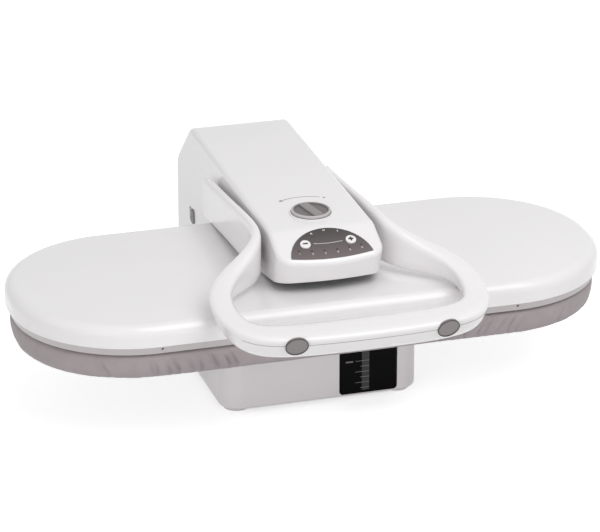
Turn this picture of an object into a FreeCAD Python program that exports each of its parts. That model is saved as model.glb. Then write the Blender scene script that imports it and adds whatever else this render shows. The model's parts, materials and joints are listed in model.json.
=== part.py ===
"""Steam ironing press: a padded board on a base, and a heated head that closes on it.

Millimetres, +Z up, +X to the user's right, +Y to the back.  The origin is on the table under
the middle of the press.  The head turns on a pin in the rear tower, the handle hoop turns on two
pins in the sides of the head, and the tank slides out at the front.
"""
import FreeCAD, Part
import math
import os
import re
import Sketcher
from FreeCAD import Placement, Rotation, Vector

SIZES = (
    # The heated plate, and where its middle lies
    ("plate_length", 632, "length of the plate cover"),
    ("plate_depth", 266, "depth of the plate cover"),
    ("end_flat", 14, "straight part of the plate's ends"),
    ("plate_y", -40, "middle of the plate"),
    ("plate_top", 141, "top face of the plate cover"),
    ("cover_bottom", 118.5, "lower edge of the plate cover"),
    ("cover_wall", 2.6, "wall of the plate cover"),
    ("cover_round", 11, "round of the cover's top edge"),
    ("trim_bottom", 110, "lower edge of the rim trim"),
    ("trim_slant", 4, "how far the trim leans in"),
    ("trim_width", 9, "width of the trim ring under the cover"),
    ("trim_step", 0.8, "trim behind the cover's lower edge"),
    ("eyelet_x", 188, "small eyelets in the trim's front to the middle"),
    ("eyelet_radius", 1.5, "radius of an eyelet"),
    ("eyelet_depth", 4, "depth of an eyelet"),
    ("sole_bottom", 109.6, "ironing face"),
    ("sole_thick", 6.4, "thickness of the sole plate"),
    ("vent_radius", 2.5, "radius of a steam vent"),
    ("vent_pitch", 42, "distance between vents"),
    ("vent_row", 52, "distance of the vent rows from the middle"),
    ("vent_count", 12, "vents in a row"),
    ("chamber_length", 320, "length of the steam chamber"),
    ("chamber_depth", 124, "depth of the steam chamber"),
    ("chamber_height", 14, "height of the steam chamber"),
    ("chamber_corner", 24, "round of the chamber's corners"),
    ("element_radius", 4, "radius of the heating element's tube"),
    ("element_bend", 78, "half the distance between the element's runs"),
    ("element_reach", 180, "where the element's runs start to bend"),
    ("mat_thick", 3, "thickness of the insulation mat"),
    ("mat_margin", 16, "edge of the mat to the cover's edge"),
    ("sensor_margin", 80, "thermostat inside the plate's right end"),
    ("sensor_radius", 9, "radius of the thermostat"),
    ("sensor_height", 10, "height of the thermostat"),
    ("fit", 0.3, "space between pieces that lie side by side"),
    # The padded board
    ("board_inset", 5, "cloth edge behind the plate's edge"),
    ("cloth_top", 109.2, "top of the cloth"),
    ("cloth_bottom", 83, "underside of the cloth's hem"),
    ("cloth_thick", 1.4, "thickness of the cloth"),
    ("cloth_wad", 5.4, "wadding and cloth at the side of the board"),
    ("hem_width", 14, "hem turned in under the tray"),
    ("tray_thick", 2.5, "sheet of the tray"),
    ("tray_rim", 8, "height of the tray's rim"),
    ("support_thick", 4.5, "height of the board support"),
    ("support_length", 440, "length of the support's cross arm"),
    ("support_arm", 46, "width of the support's cross arm"),
    ("support_margin", 20, "support plate inside the base's edge"),
    ("hem_gap", 3, "space between the hem and the support plate"),
    # The base
    ("base_width", 214, "width of the base"),
    ("base_front", -102, "front face of the base"),
    ("base_back", 90, "rear face of the tall part"),
    ("base_top", 80, "top of the tall part"),
    ("base_corner", 22, "upright corners of the base"),
    ("base_wall", 3, "wall of the base"),
    ("base_round", 4, "round of the base's lower edge"),
    ("foot_height", 4, "height of the feet"),
    ("foot_radius", 15, "radius of a foot at the top"),
    ("foot_taper", 1.5, "how much a foot narrows"),
    ("foot_margin", 19.5, "feet inside the base's sides"),
    ("foot_front", 22, "front feet behind the base's front"),
    ("foot_back", 32, "rear feet before the low part's rear face"),
    ("tail_width", 196, "width of the low rear part"),
    ("tail_back", 258, "rear face of the low part"),
    ("tail_top", 30, "top of the low part"),
    ("boss_radius", 5, "radius of a screw boss"),
    ("boss_margin", 11, "screw bosses inside the base's sides"),
    ("boss_front", 32, "front bosses behind the base's front"),
    ("boss_back", 14, "rear bosses before the tall part's rear face"),
    ("screw_radius", 2, "radius of a screw's shank"),
    ("screw_length", 16, "length of a screw's shank"),
    ("screw_head", 3.8, "radius of a screw's head"),
    ("screw_cap", 2.2, "height of a screw's head"),
    # The water tank in the base
    ("tank_left", 19, "left side of the tank"),
    ("tank_right", 81, "right side of the tank"),
    ("tank_top", 69, "top of the tank"),
    ("tank_depth", 150, "depth of the tank"),
    ("tank_wall", 2, "wall of the tank"),
    ("tank_corner", 3.5, "round of the tank's lower corners"),
    ("tank_gap", 0.8, "space round the tank"),
    ("lid_thick", 2.4, "thickness of the tank's lid"),
    ("plug_radius", 13, "radius of the filler plug"),
    ("plug_height", 4, "height of the filler plug"),
    ("plug_y", 20, "filler plug behind the middle of the tank"),
    ("valve_radius", 4, "radius of the outlet spigot"),
    ("valve_height", 14, "outlet above the tank's floor"),
    ("seal_width", 2.2, "width of the outlet seal"),
    ("valve_block", 24, "size of the valve seat"),
    ("pump_radius", 17, "radius of the pump"),
    ("pump_length", 62, "length of the pump"),
    ("pump_x", -46, "pump to the middle"),
    ("pump_lift", 8, "height of the pump's saddle"),
    ("terminal_length", 56, "length of the terminal block"),
    ("terminal_depth", 24, "depth of the terminal block"),
    ("terminal_height", 13, "height of the terminal block"),
    # The rear tower and the hinge
    ("hinge_y", 230, "hinge pin"),
    ("hinge_z", 90, "hinge pin above the table"),
    ("pin_radius", 5, "radius of the hinge pin"),
    ("pin_play", 0.05, "running clearance of a pin"),
    ("pin_overhang", 4, "pin outside the tower's legs"),
    ("clip_radius", 8, "radius of a retaining clip"),
    ("clip_thick", 1.5, "thickness of a retaining clip"),
    ("leg_out", 45, "outer face of a tower leg"),
    ("leg_sheet", 3, "sheet of the tower"),
    ("leg_depth", 44, "depth of a leg at its foot"),
    ("leg_eye", 15, "round of a leg about the pin"),
    ("eye_share", 0.98, "round of an eye's outline as a share of its radius"),
    ("tower_out", 50, "half width of the tower cover"),
    ("tower_depth", 50, "depth of the tower cover"),
    ("tower_top", 71, "top of the tower cover"),
    ("tower_wall", 2.5, "wall of the tower cover"),
    ("tower_corner", 8, "upright corners of the tower cover"),
    ("gland_z", 46, "cord inlet above the table"),
    ("gland_radius", 8, "radius of the cord inlet"),
    ("gland_bore", 4, "bore of the cord inlet"),
    ("gland_flange", 11, "radius of the inlet's flange"),
    ("gland_length", 9, "length of the cord inlet"),
    # The head's housing
    ("hood_width", 113, "width of the hood"),
    ("hood_wall", 2.6, "wall of the hood"),
    ("hood_round", 5.5, "round of the hood's edges"),
    ("nose_foot", -135.5, "foot of the nose over the plate"),
    ("nose_lift", 12, "foot of the nose above the plate"),
    ("nose_run", 76, "how far back the hood's edge comes down to the plate"),
    ("nose_y", -143.3, "tip of the nose"),
    ("nose_z", 175.75, "height of the nose's tip"),
    ("nose_bow", 9, "nose's two shallow faces meet this far ahead of its corners"),
    ("nose_curve", 190, "round between the nose's two faces in plan"),
    ("nose_corner", 18, "upright corners of the nose"),
    ("nose_spare", 8, "stock ahead of the nose before it is shaped in plan"),
    ("slope", 25, "slope of the panel in degrees"),
    ("slope_length", 50.5, "length of the sloping face"),
    ("brow_round", 20, "round between the slope and the top"),
    ("crest_y", 213, "rear end of the top"),
    ("crest_z", 206, "height of the top's rear end"),
    ("crest_round", 25, "rounds at the rear"),
    ("shoulder_z", 152, "foot of the rear slope"),
    ("hood_back", 272, "rear face of the hood"),
    ("skirt_bottom", 62, "lower edge of the hood behind the plate"),
    ("skirt_gap", 3.5, "hood behind the plate's rear edge"),
    ("arch_half", 51.5, "half width of the rear cut-out"),
    ("arch_top", 96, "top of the rear cut-out"),
    ("channel_half", 38.5, "half width of the hinge channel"),
    ("channel_sheet", 2.5, "sheet of the hinge channel"),
    ("channel_lift", 3.2, "hinge channel above the plate cover"),
    ("channel_front", 30, "front end of the hinge channel"),
    ("bush_radius", 7.5, "radius of a bush"),
    ("bush_flange", 11, "radius of a bush's flange"),
    ("bush_lip", 1.5, "thickness of a bush's flange"),
    ("bolt_x", 24, "channel bolts to the middle"),
    ("bolt_front", 42, "front channel bolts"),
    ("bolt_back", 76, "rear channel bolts"),
    # Controls
    ("panel_width", 87, "width of the half-moon panel"),
    ("panel_rise", 37.8, "height of the half-moon panel"),
    ("panel_start", 9.7, "panel's corners above the nose's tip"),
    ("panel_bow", 4.6, "how far the panel's lower edge bows down"),
    ("panel_thick", 2, "thickness of the panel"),
    ("panel_proud", 0.5, "panel above the hood"),
    ("panel_lip", 3, "ledge under the panel's edge"),
    ("button_x", 24.2, "buttons to the middle"),
    ("button_rise", 17.4, "buttons above the panel's corners"),
    ("button_radius", 5.5, "radius of a button"),
    ("button_proud", 1.6, "button above the panel"),
    ("button_flange", 6.4, "radius of a button's flange"),
    ("button_travel", 1, "travel of a button"),
    ("lens_radius", 1.3, "radius of an indicator lens"),
    ("lens_pitch", 13.2, "distance between the lower lenses"),
    ("lens_low", 11.6, "lower lenses above the panel's bowed lower edge"),
    ("lens_high", 27.7, "outer upper lenses above the panel's corners"),
    ("lens_arch", 3, "middle upper lens above its neighbours"),
    ("lens_high_pitch", 14, "distance between the upper lenses"),
    ("board_drop", 7, "circuit board under the panel"),
    ("circuit_thick", 1.6, "thickness of the circuit board"),
    ("circuit_width", 78, "width of the circuit board"),
    ("circuit_depth", 30, "depth of the circuit board"),
    ("knob_y", -60, "knob on the top"),
    ("knob_radius", 20.5, "radius of the knob"),
    ("knob_height", 2.6, "height of the knob's skirt"),
    ("dish_rim", 3, "width of the knob's rim round its dish"),
    ("dish_depth", 1.5, "depth of the knob's dish"),
    ("grip_proud", 0.7, "knob's grip bar above its rim"),
    ("grip_width", 11, "width of the knob's grip bar"),
    ("grip_turn", -78, "grip bar from the press's length, in degrees"),
    ("bezel_radius", 22.5, "radius of the ring round the knob"),
    ("bezel_thick", 1.2, "thickness of the ring"),
    ("stem_radius", 11, "radius of the knob's stem"),
    ("stem_length", 24, "length of the knob's stem"),
    ("socket_wall", 2.5, "wall of the filter socket"),
    ("seal_radius", 1.6, "section of the knob's seal"),
    ("lock_y", 206, "lock on the left side"),
    ("lock_z", 104, "height of the lock"),
    ("lock_length", 21, "length of the lock's recess"),
    ("lock_height", 17, "height of the lock's recess"),
    ("lock_depth", 1.9, "depth of the lock's recess"),
    ("lock_key", 12, "length of the lock's slider"),
    ("lock_proud", 1.2, "slider outside the hood"),
    # The handle hoop
    ("pivot_y", 92, "handle pins"),
    ("pivot_z", 156, "height of the handle pins"),
    ("arm_gap", 4.5, "space between hood and handle arm"),
    ("arm_width", 9.5, "thickness of a handle arm"),
    ("arm_tail", 18, "arm behind its pin"),
    ("hoop_half", 127.5, "middle of the hoop's corner"),
    ("hoop_front", -273.6, "top front edge of the bar before it is rounded"),
    ("bar_depth", 48, "depth of the bar"),
    ("bar_drop", 16, "bar's underside below the plate's top"),
    ("bar_height", 27.5, "height of the bar"),
    ("arm_height", 48, "height of an arm"),
    ("arm_lift", 7, "arm above the plate's top"),
    ("seam_share", 0.64, "seam's share of the section's height"),
    ("hoop_lean", 0.37, "lean of the hoop's sides as a share of its swell over the arm"),
    ("hoop_round", 0.85, "round of the hoop's corners as a share of the room for it"),
    ("crown_ratio", 2, "longest side of such a round against its shortest"),
    ("tail_round", 13, "round of an arm's tail seen from the side"),
    ("cap_search", 400, "steps in the search for a cap's place"),
    ("cap_x", 76, "screw caps to the middle"),
    ("cap_radius", 11, "radius of a screw cap"),
    ("cap_thick", 2.4, "depth of a screw cap's seat"),
    ("cap_proud", 0.8, "screw cap outside its seat"),
    ("hoop_screw", 12, "length of a handle screw"),
)

doc = FreeCAD.newDocument("steam_press")
sheet = doc.addObject("Spreadsheet::Sheet", "Sizes")
for row, (alias, number, meaning) in enumerate(SIZES, start=1):
    sheet.set("A%d" % row, meaning)
    sheet.set("B%d" % row, str(number))
    sheet.setAlias("B%d" % row, alias)
doc.recompute()


class SheetSizes:
    """The sheet's cells, read by alias."""

    def __getattr__(self, alias):
        return float(sheet.get(alias))


s = SheetSizes()
X_AXIS, Y_AXIS, Z_AXIS = Vector(1, 0, 0), Vector(0, 1, 0), Vector(0, 0, 1)
SIDES = (-1, 1)
PLANES = {
    "XY": (lambda a, b, at: Vector(a, b, at), Z_AXIS),
    "YZ": (lambda a, b, at: Vector(at, a, b), X_AXIS),
    "XZ": (lambda a, b, at: Vector(a, at, b), Y_AXIS),
}
PLATE_CORNER = "(plate_depth - end_flat) / 2"
FLOOR = "foot_height + base_wall"
nodes = []


# Helpers for objects that are bound to the sheet

def cells(text):
    """Expression text in which each alias is read from the sheet."""
    return re.sub(r"\b([a-z_]+)\b", r"Sizes.\1", text)


def bind(thing, path, text):
    thing.setExpression(path, cells(text))


def number(text):
    return float(sheet.evalExpression(cells(text)))


def keep(thing, label):
    thing.Label = label
    nodes.append(thing)
    return thing


def piece(label, shape, place=Placement()):
    """A sub-part whose form is lofted, swept or cut from several prisms."""
    made = doc.addObject("Part::Feature", label)
    made.Shape = shape
    made.Placement = place
    return keep(made, label)


def block(name, low, size):
    made = doc.addObject("Part::Box", name)
    for path, text in zip(("Length", "Width", "Height"), size):
        bind(made, path, text)
    for axis, text in zip("xyz", low):
        bind(made, ".Placement.Base." + axis, text)
    return made


def rod(name, radius, length, base, turn=Rotation()):
    """A cylinder from base, along Z unless it is turned."""
    made = doc.addObject("Part::Cylinder", name)
    made.Placement = Placement(Vector(), turn)
    bind(made, "Radius", radius)
    bind(made, "Height", length)
    for axis, text in zip("xyz", base):
        bind(made, ".Placement.Base." + axis, text)
    return made


def group(label, members):
    made = doc.addObject("Part::Compound", label)
    made.Links = members
    return keep(made, label)


def fused(label, members):
    made = doc.addObject("Part::MultiFuse", label)
    made.Shapes = members
    return made


def less(label, base, tool):
    made = doc.addObject("Part::Cut", label)
    made.Base = base
    made.Tool = tool
    return made


def body(label):
    return keep(doc.addObject("PartDesign::Body", label), label)


def sketch_on(owner, name, place):
    """An empty sketch over the body's XY plane, moved to place."""
    made = owner.newObject("Sketcher::SketchObject", name)
    plane = next(f for f in owner.Origin.OriginFeatures if f.Role == "XY_Plane")
    made.AttachmentSupport = [(plane, "")]
    made.MapMode = "FlatFace"
    for axis, text in zip("xyz", place):
        bind(made, ".AttachmentOffset.Base." + axis, text)
    return made


def drive(sketch, constraint, name, text):
    """Add a constraint and tie it to the sheet."""
    index = sketch.addConstraint(constraint)
    sketch.renameConstraint(index, name)
    bind(sketch, "Constraints." + name, text)


def rounded_sketch(owner, name, length, depth, corner, place):
    """A rounded rectangle about the sketch's origin."""
    sketch = sketch_on(owner, name, place)
    radius = number(corner)
    in_x = number(length) / 2 - radius
    in_y = number(depth) / 2 - radius
    centres = ((in_x, -in_y), (in_x, in_y), (-in_x, in_y), (-in_x, -in_y))
    for quarter, (x, y) in enumerate(centres):
        start = (quarter - 1) * math.pi / 2
        before = centres[quarter - 1]
        out = Vector(math.cos(start), math.sin(start), 0) * radius
        line = Part.LineSegment(Vector(*before, 0) + out, Vector(x, y, 0) + out)
        circle = Part.Circle(Vector(x, y, 0), Z_AXIS, radius)
        sketch.addGeometry(line)
        sketch.addGeometry(Part.ArcOfCircle(circle, start, start + math.pi / 2))
    for i in range(8):
        sketch.addConstraint(Sketcher.Constraint("Tangent", i, 2, (i + 1) % 8, 1))
    for i, kind in zip((0, 2, 4, 6), ("Horizontal", "Vertical") * 2):
        sketch.addConstraint(Sketcher.Constraint(kind, i))
    for i in (1, 3, 5):
        sketch.addConstraint(Sketcher.Constraint("Equal", i, i + 2))
    sketch.addConstraint(Sketcher.Constraint("Symmetric", 1, 3, 5, 3, -1, 1))
    spread = "(%s) - 2 * (%s)"
    drive(sketch, Sketcher.Constraint("DistanceX", 7, 3, 1, 3, 2 * in_x), "along", spread % (length, corner))
    drive(sketch, Sketcher.Constraint("DistanceY", 1, 3, 3, 3, 2 * in_y), "across", spread % (depth, corner))
    drive(sketch, Sketcher.Constraint("Radius", 1, radius), "corner", corner)
    return sketch


def round_sketch(owner, name, radius, place):
    sketch = sketch_on(owner, name, place)
    sketch.addGeometry(Part.Circle(Vector(), Z_AXIS, number(radius)))
    sketch.addConstraint(Sketcher.Constraint("Coincident", 0, 3, -1, 1))
    drive(sketch, Sketcher.Constraint("Radius", 0, number(radius)), "radius", radius)
    return sketch


def pad(owner, name, sketch, height):
    made = owner.newObject("PartDesign::Pad", name)
    made.Profile = sketch
    bind(made, "Length", height)
    return made


def pocket_up(owner, name, sketch, height):
    """A pocket that starts at its sketch and cuts upwards."""
    made = owner.newObject("PartDesign::Pocket", name)
    made.Profile = sketch
    made.Reversed = True
    bind(made, "Length", height)
    return made


def round_level(owner, name, base, level, radius):
    """Round the edges of base that lie at one height."""
    doc.recompute()
    height = number(level)
    edges = []
    for i, edge in enumerate(base.Shape.Edges, start=1):
        box = edge.BoundBox
        if abs(box.ZMin - height) < 0.01 and abs(box.ZMax - height) < 0.01:
            edges.append("Edge%d" % i)
    made = owner.newObject("PartDesign::Fillet", name)
    made.Base = (base, edges)
    bind(made, "Radius", radius)
    return made


# Helpers for forms that are worked out from the sheet's numbers

def rounded_wire(plane, corners, at):
    """A closed wire in a plane through corners (a, b, radius)."""
    point = PLANES[plane][0]
    spans = []
    for i, (a, b, radius) in enumerate(corners):
        here = point(a, b, at)
        before = corners[i - 1]
        after = corners[(i + 1) % len(corners)]
        back = (point(before[0], before[1], at) - here).normalize()
        ahead = (point(after[0], after[1], at) - here).normalize()
        if radius:
            half = back.getAngle(ahead) / 2
            reach = radius / math.tan(half)
            middle = (back + ahead).normalize() * (radius / math.sin(half) - radius)
            spans.append((here + back * reach, here + middle, here + ahead * reach))
        else:
            spans.append((here,))
    edges = []
    for i, span in enumerate(spans):
        if len(span) == 3:
            edges.append(Part.Arc(*span).toShape())
        following = spans[(i + 1) % len(spans)][0]
        if span[-1].distanceToPoint(following) > 1e-6:
            edges.append(Part.makeLine(span[-1], following))
    return Part.Wire(edges)


def prism(plane, corners, start, end):
    face = Part.Face(rounded_wire(plane, corners, start))
    return face.extrude(PLANES[plane][1] * (end - start))


def rectangle(low_a, high_a, low_b, high_b, radius=0.0):
    lower = ((low_a, low_b, radius), (high_a, low_b, radius))
    return lower + ((high_a, high_b, radius), (low_a, high_b, radius))


def trough(low_a, high_a, low_b, high_b, radius):
    """A rectangle that is round at its lower corners only."""
    return ((low_a, low_b, radius), (high_a, low_b, radius), (high_a, high_b, 0), (low_a, high_b, 0))


def cylinder(radius, start, end):
    return Part.makeCylinder(radius, (end - start).Length, start, end - start)


def screw_bore(start, end):
    """The hole that a screw's shank runs in."""
    return cylinder(s.screw_radius + s.pin_play, start, end)


def plate_outline(inset):
    """The plate's outline in plan, moved in by inset."""
    half_x = s.plate_length / 2 - inset
    half_y = s.plate_depth / 2 - inset
    corner = half_y - s.end_flat / 2
    return rectangle(-half_x, half_x, s.plate_y - half_y, s.plate_y + half_y, corner)


def plate_loft(levels):
    """A form through plate outlines, given as (inset, height)."""
    wires = [rounded_wire("XY", plate_outline(inset), height) for inset, height in levels]
    return Part.makeLoft(wires, True)


# The heated plate

def plate_sketch(owner, name, inset, height):
    """A sketch of the plate's outline, moved in by inset."""
    less_both = " - 2 * (%s)" % inset
    return rounded_sketch(owner, name, "plate_length" + less_both, "plate_depth" + less_both,
                          PLATE_CORNER + " - (%s)" % inset, ("0", "plate_y", height))


def plate_cover():
    made = body("plate_cover")
    outside = plate_sketch(made, "cover_outline", "0", "cover_bottom")
    shell = pad(made, "cover_block", outside, "plate_top - cover_bottom")
    round_level(made, "cover_edge", shell, "plate_top", "cover_round")
    inside = plate_sketch(made, "cover_inside", "cover_wall", "cover_bottom")
    pocket_up(made, "cover_hollow", inside, "plate_top - cover_bottom - cover_round")
    crown = plate_sketch(made, "crown_inside", "cover_round", "plate_top - cover_round")
    pocket_up(made, "crown_hollow", crown, "cover_round - cover_wall")
    holes = sketch_on(made, "bolt_holes", ("0", "0", "plate_top - cover_round"))
    for i, (x, y) in enumerate(bolt_places()):
        holes.addGeometry(Part.Circle(Vector(x, y, 0), Z_AXIS, s.screw_radius + s.pin_play))
        side = "bolt_x" if x > 0 else "-bolt_x"
        row = "bolt_front" if y == s.bolt_front else "bolt_back"
        drive(holes, Sketcher.Constraint("DistanceX", -1, 1, i, 3, x), "across_%s" % "abcd"[i], side)
        drive(holes, Sketcher.Constraint("DistanceY", -1, 1, i, 3, y), "back_%s" % "abcd"[i], row)
        drive(holes, Sketcher.Constraint("Radius", i, s.screw_radius), "radius_%s" % "abcd"[i],
              "screw_radius + pin_play")
    pocket_up(made, "bolt_bores", holes, "2 * cover_round")


def bolt_places():
    return [(side * s.bolt_x, y) for y in (s.bolt_front, s.bolt_back) for side in SIDES]


def rim_trim():
    """The slanting band under the cover, round the sole plate, with two eyelets at the front."""
    outside = plate_loft(((s.trim_slant, s.trim_bottom), (s.trim_step, s.cover_bottom)))
    form = outside.cut(prism("XY", plate_outline(s.trim_width), s.trim_bottom - 1, s.cover_bottom + 1))
    front = s.plate_y - s.plate_depth / 2
    height = s.cover_bottom - 2 * s.eyelet_radius
    for side in SIDES:
        mouth = Vector(side * s.eyelet_x, front, height)
        form = form.cut(cylinder(s.eyelet_radius, mouth, mouth + Y_AXIS * (s.trim_step + s.eyelet_depth)))
    piece("rim_trim", form)


def sole_plate():
    """The cast plate with two rows of steam vents."""
    made = body("sole_plate")
    outline = plate_sketch(made, "sole_outline", "trim_width + fit", "sole_bottom")
    pad(made, "sole_block", outline, "sole_thick")
    vents = []
    for name, row in (("front", "plate_y - vent_row"), ("rear", "plate_y + vent_row")):
        first = round_sketch(made, name + "_vent", "vent_radius",
                             ("-vent_pitch * (vent_count - 1) / 2", row, "sole_bottom"))
        vents.append(pocket_up(made, name + "_vents", first, "sole_thick / 2"))
    doc.recompute()
    rows = made.newObject("PartDesign::LinearPattern", "vent_rows")
    rows.Originals = vents
    rows.Direction = (next(f for f in made.Origin.OriginFeatures if f.Role == "X_Axis"), [""])
    bind(rows, "Length", "vent_pitch * (vent_count - 1)")
    bind(rows, "Occurrences", "vent_count")
    made.Tip = rows


def chamber_top():
    return s.sole_bottom + s.sole_thick + s.chamber_height


def steam_chamber():
    """The cast box over the vents, with a bolt flange at its back."""
    low = s.sole_bottom + s.sole_thick
    half_x = s.chamber_length / 2
    half_y = s.chamber_depth / 2
    outline = rectangle(-half_x, half_x, s.plate_y - half_y, s.plate_y + half_y, s.chamber_corner)
    box = prism("XY", outline, low, chamber_top())
    sockets_y = s.plate_y + half_y
    reach = s.bolt_back + s.bolt_x / 2
    wing_x = s.bolt_x + 2 * s.screw_head
    wing = rectangle(-wing_x, wing_x, sockets_y - s.chamber_corner, reach, s.screw_head)
    box = box.fuse(prism("XY", wing, wing_bottom(), chamber_top())).removeSplitter()
    for x, y in bolt_places():
        box = box.cut(screw_bore(Vector(x, y, low), Vector(x, y, chamber_top() + 1)))
    piece("steam_chamber", box)


def wing_bottom():
    """Underside of the chamber's bolt flange, which passes over the heating element."""
    return s.sole_bottom + s.sole_thick + 2 * s.element_radius + 2 * s.fit


def heating_element():
    """A tube bent round the chamber, with its two cold ends turned up on the right."""
    height = s.sole_bottom + s.sole_thick + s.element_radius
    reach, bend, stub = s.element_reach, s.element_bend, 3 * s.element_radius
    front, rear = s.plate_y - bend, s.plate_y + bend
    left = Vector(-reach - bend, s.plate_y, height)
    turn = bend / math.sqrt(2)
    gap = bend / 2
    start = Vector(reach, front, height)

    def bend_at(across):
        return Vector(-reach - turn, s.plate_y + across, height)

    run = [
        Part.makeLine(start, Vector(-reach, front, height)),
        Part.Arc(Vector(-reach, front, height), bend_at(-turn), left).toShape(),
        Part.Arc(left, bend_at(turn), Vector(-reach, rear, height)).toShape(),
        Part.makeLine(Vector(-reach, rear, height), Vector(reach + gap, rear, height)),
    ]
    path = Part.Wire(run)
    ring = Part.Wire(Part.makeCircle(s.element_radius, start, X_AXIS))
    tube = path.makePipeShell([ring], True, False)
    cold = []
    for end in (start, Vector(reach + gap, rear, height)):
        foot = end - X_AXIS * stub
        cold.append(cylinder(s.element_radius / 2, foot, foot + Z_AXIS * 2 * s.element_radius))
    piece("heating_element", tube.multiFuse(cold))


def insulation_mat():
    low = chamber_top()
    sheet_form = prism("XY", plate_outline(s.mat_margin), low, low + s.mat_thick)
    for x, y in bolt_places():
        hole = cylinder(s.screw_head, Vector(x, y, low - 1), Vector(x, y, low + 2 * s.mat_thick))
        sheet_form = sheet_form.cut(hole)
    piece("insulation_mat", sheet_form)


def thermostat():
    height = "sole_bottom + sole_thick"
    across = "plate_length / 2 - sensor_margin"
    disc = rod("sensor_disc", "sensor_radius", "sensor_height", (across, "plate_y", height))
    tabs = []
    for name, side in (("sensor_tab_front", "-1"), ("sensor_tab_rear", "1")):
        low = (across + " - sensor_radius / 4", "plate_y + %s * sensor_radius - 2" % side, height)
        tabs.append(block(name, low, ("sensor_radius / 2", "4", "sensor_height + 3")))
    keep(fused("thermostat", [disc] + tabs), "thermostat")


# The padded board

def tray_inset():
    return s.board_inset + s.cloth_wad + s.fit


def tray_bottom():
    return s.base_top + s.support_thick


def board_support():
    """A steel plate on the base, inside the cloth's hem, with a cross arm under the tray."""
    made = body("board_support")
    front = "(base_front + support_margin)"
    back = "(plate_y + plate_depth / 2 - board_inset - cloth_wad - hem_width - hem_gap)"
    place = ("0", "(%s + %s) / 2" % (front, back), "base_top")
    plate = rounded_sketch(made, "support_plate", "base_width - 2 * support_margin",
                           "%s - %s" % (back, front), "base_corner", place)
    pad(made, "support_block", plate, "support_thick")
    arm = rounded_sketch(made, "support_cross", "support_length", "support_arm", "support_arm / 3",
                         ("0", "plate_y", "base_top"))
    pad(made, "support_cross_block", arm, "support_thick")


def board_tray():
    made = body("board_tray")
    edge = "board_inset + cloth_wad + fit"
    floor = "base_top + support_thick"
    outline = plate_sketch(made, "tray_outline", edge, floor)
    pad(made, "tray_block", outline, "tray_rim + tray_thick")
    hollow = plate_sketch(made, "tray_inside", edge + " + tray_thick", floor + " + tray_thick")
    pocket_up(made, "tray_hollow", hollow, "tray_rim + tray_thick")


def board_foam():
    made = body("board_foam")
    floor = "base_top + support_thick + tray_thick"
    top = "cloth_top - cloth_thick - fit"
    outline = plate_sketch(made, "foam_outline", "board_inset + cloth_wad + 2 * fit + tray_thick", floor)
    slab = pad(made, "foam_slab", outline, "%s - (%s)" % (top, floor))
    round_level(made, "foam_edge", slab, top, "tray_thick")


def board_cover():
    """Cloth and wadding drawn over the board, with a crowned edge and a hem under the tray."""
    height = s.cloth_top - s.cloth_bottom
    levels = (
        (s.board_inset + 0.6 * s.cloth_wad, s.cloth_bottom),
        (s.board_inset + 0.25 * s.cloth_wad, s.cloth_bottom + 0.12 * height),
        (s.board_inset + 0.05 * s.cloth_wad, s.cloth_bottom + 0.4 * height),
        (s.board_inset, s.cloth_bottom + 0.62 * height),
        (s.board_inset + 0.14 * s.cloth_wad, s.cloth_bottom + 0.84 * height),
        (s.board_inset + 0.6 * s.cloth_wad, s.cloth_bottom + 0.96 * height),
        (s.board_inset + 1.4 * s.cloth_wad, s.cloth_top),
    )
    outside = plate_loft(levels)
    inset = tray_inset() - s.fit
    hollow = prism("XY", plate_outline(inset), tray_bottom() - s.fit, s.cloth_top - s.cloth_thick)
    mouth = prism("XY", plate_outline(inset + s.hem_width), s.cloth_bottom - 1, tray_bottom())
    piece("board_cover", outside.cut(hollow).cut(mouth))


# The base

def base_outline(inset):
    half = s.base_width / 2 - inset
    return rectangle(-half, half, s.base_front + inset, s.base_back - inset, s.base_corner - inset)


def tail_outline(inset):
    half = s.tail_width / 2 - inset
    corner = s.base_corner - inset
    start = s.base_back - s.base_corner
    back = s.tail_back - inset
    return ((-half, start, 0), (half, start, 0), (half, back, corner), (-half, back, corner))


def boss_places():
    across = s.base_width / 2 - s.boss_margin
    rows = (s.base_front + s.boss_front, s.base_back - s.boss_back)
    return [(side * across, y) for y in rows for side in SIDES]


def before_tail():
    """All that lies before the low rear part."""
    return rectangle(-s.base_width, s.base_width, s.base_front, s.base_back + s.fit)


def floor_top():
    return s.foot_height + s.base_wall


def tank_bottom():
    return floor_top() + s.fit


def deck_bottom():
    return s.base_top - s.base_wall


def base_tub():
    """The base moulding: a tall front, a low tail, a round lower edge and the tank's mouth."""
    low = s.foot_height
    tall = prism("XY", base_outline(0), low, s.base_top)
    tail = prism("XY", tail_outline(0), low, s.tail_top)
    outside = tall.fuse(tail).removeSplitter()
    lower = [e for e in outside.Edges if e.BoundBox.ZMax < low + 0.01]
    outside = outside.makeFillet(s.base_round, lower)
    wall = s.base_wall
    hollow = prism("XY", base_outline(wall), low + wall, s.base_top + 1)
    under = prism("XY", tail_outline(wall), low + wall, s.tail_top + 1)
    ledge = prism("XY", before_tail(), s.tail_top - wall, s.tail_top + 2)
    hollow = hollow.fuse(under.cut(ledge)).removeSplitter()
    floor_edges = [e for e in hollow.Edges if e.BoundBox.ZMax < low + wall + 0.01]
    tub = outside.cut(hollow.makeFillet(s.base_round - wall, floor_edges))
    for x, y in boss_places():
        boss = cylinder(s.boss_radius, Vector(x, y, low + wall / 2), Vector(x, y, deck_bottom()))
        tub = tub.fuse(boss.common(outside))
        bore = Vector(x, y, s.base_top - s.screw_length - s.base_wall)
        tub = tub.cut(screw_bore(bore, Vector(x, y, s.base_top)))
    gap = s.tank_gap
    mouth = trough(s.tank_left - gap, s.tank_right + gap, floor_top(), s.tank_top + gap, s.tank_corner + gap)
    tub = tub.cut(prism("XZ", mouth, s.base_front - 1, s.base_front + s.base_corner))
    piece("base_tub", tub.removeSplitter())


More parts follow.
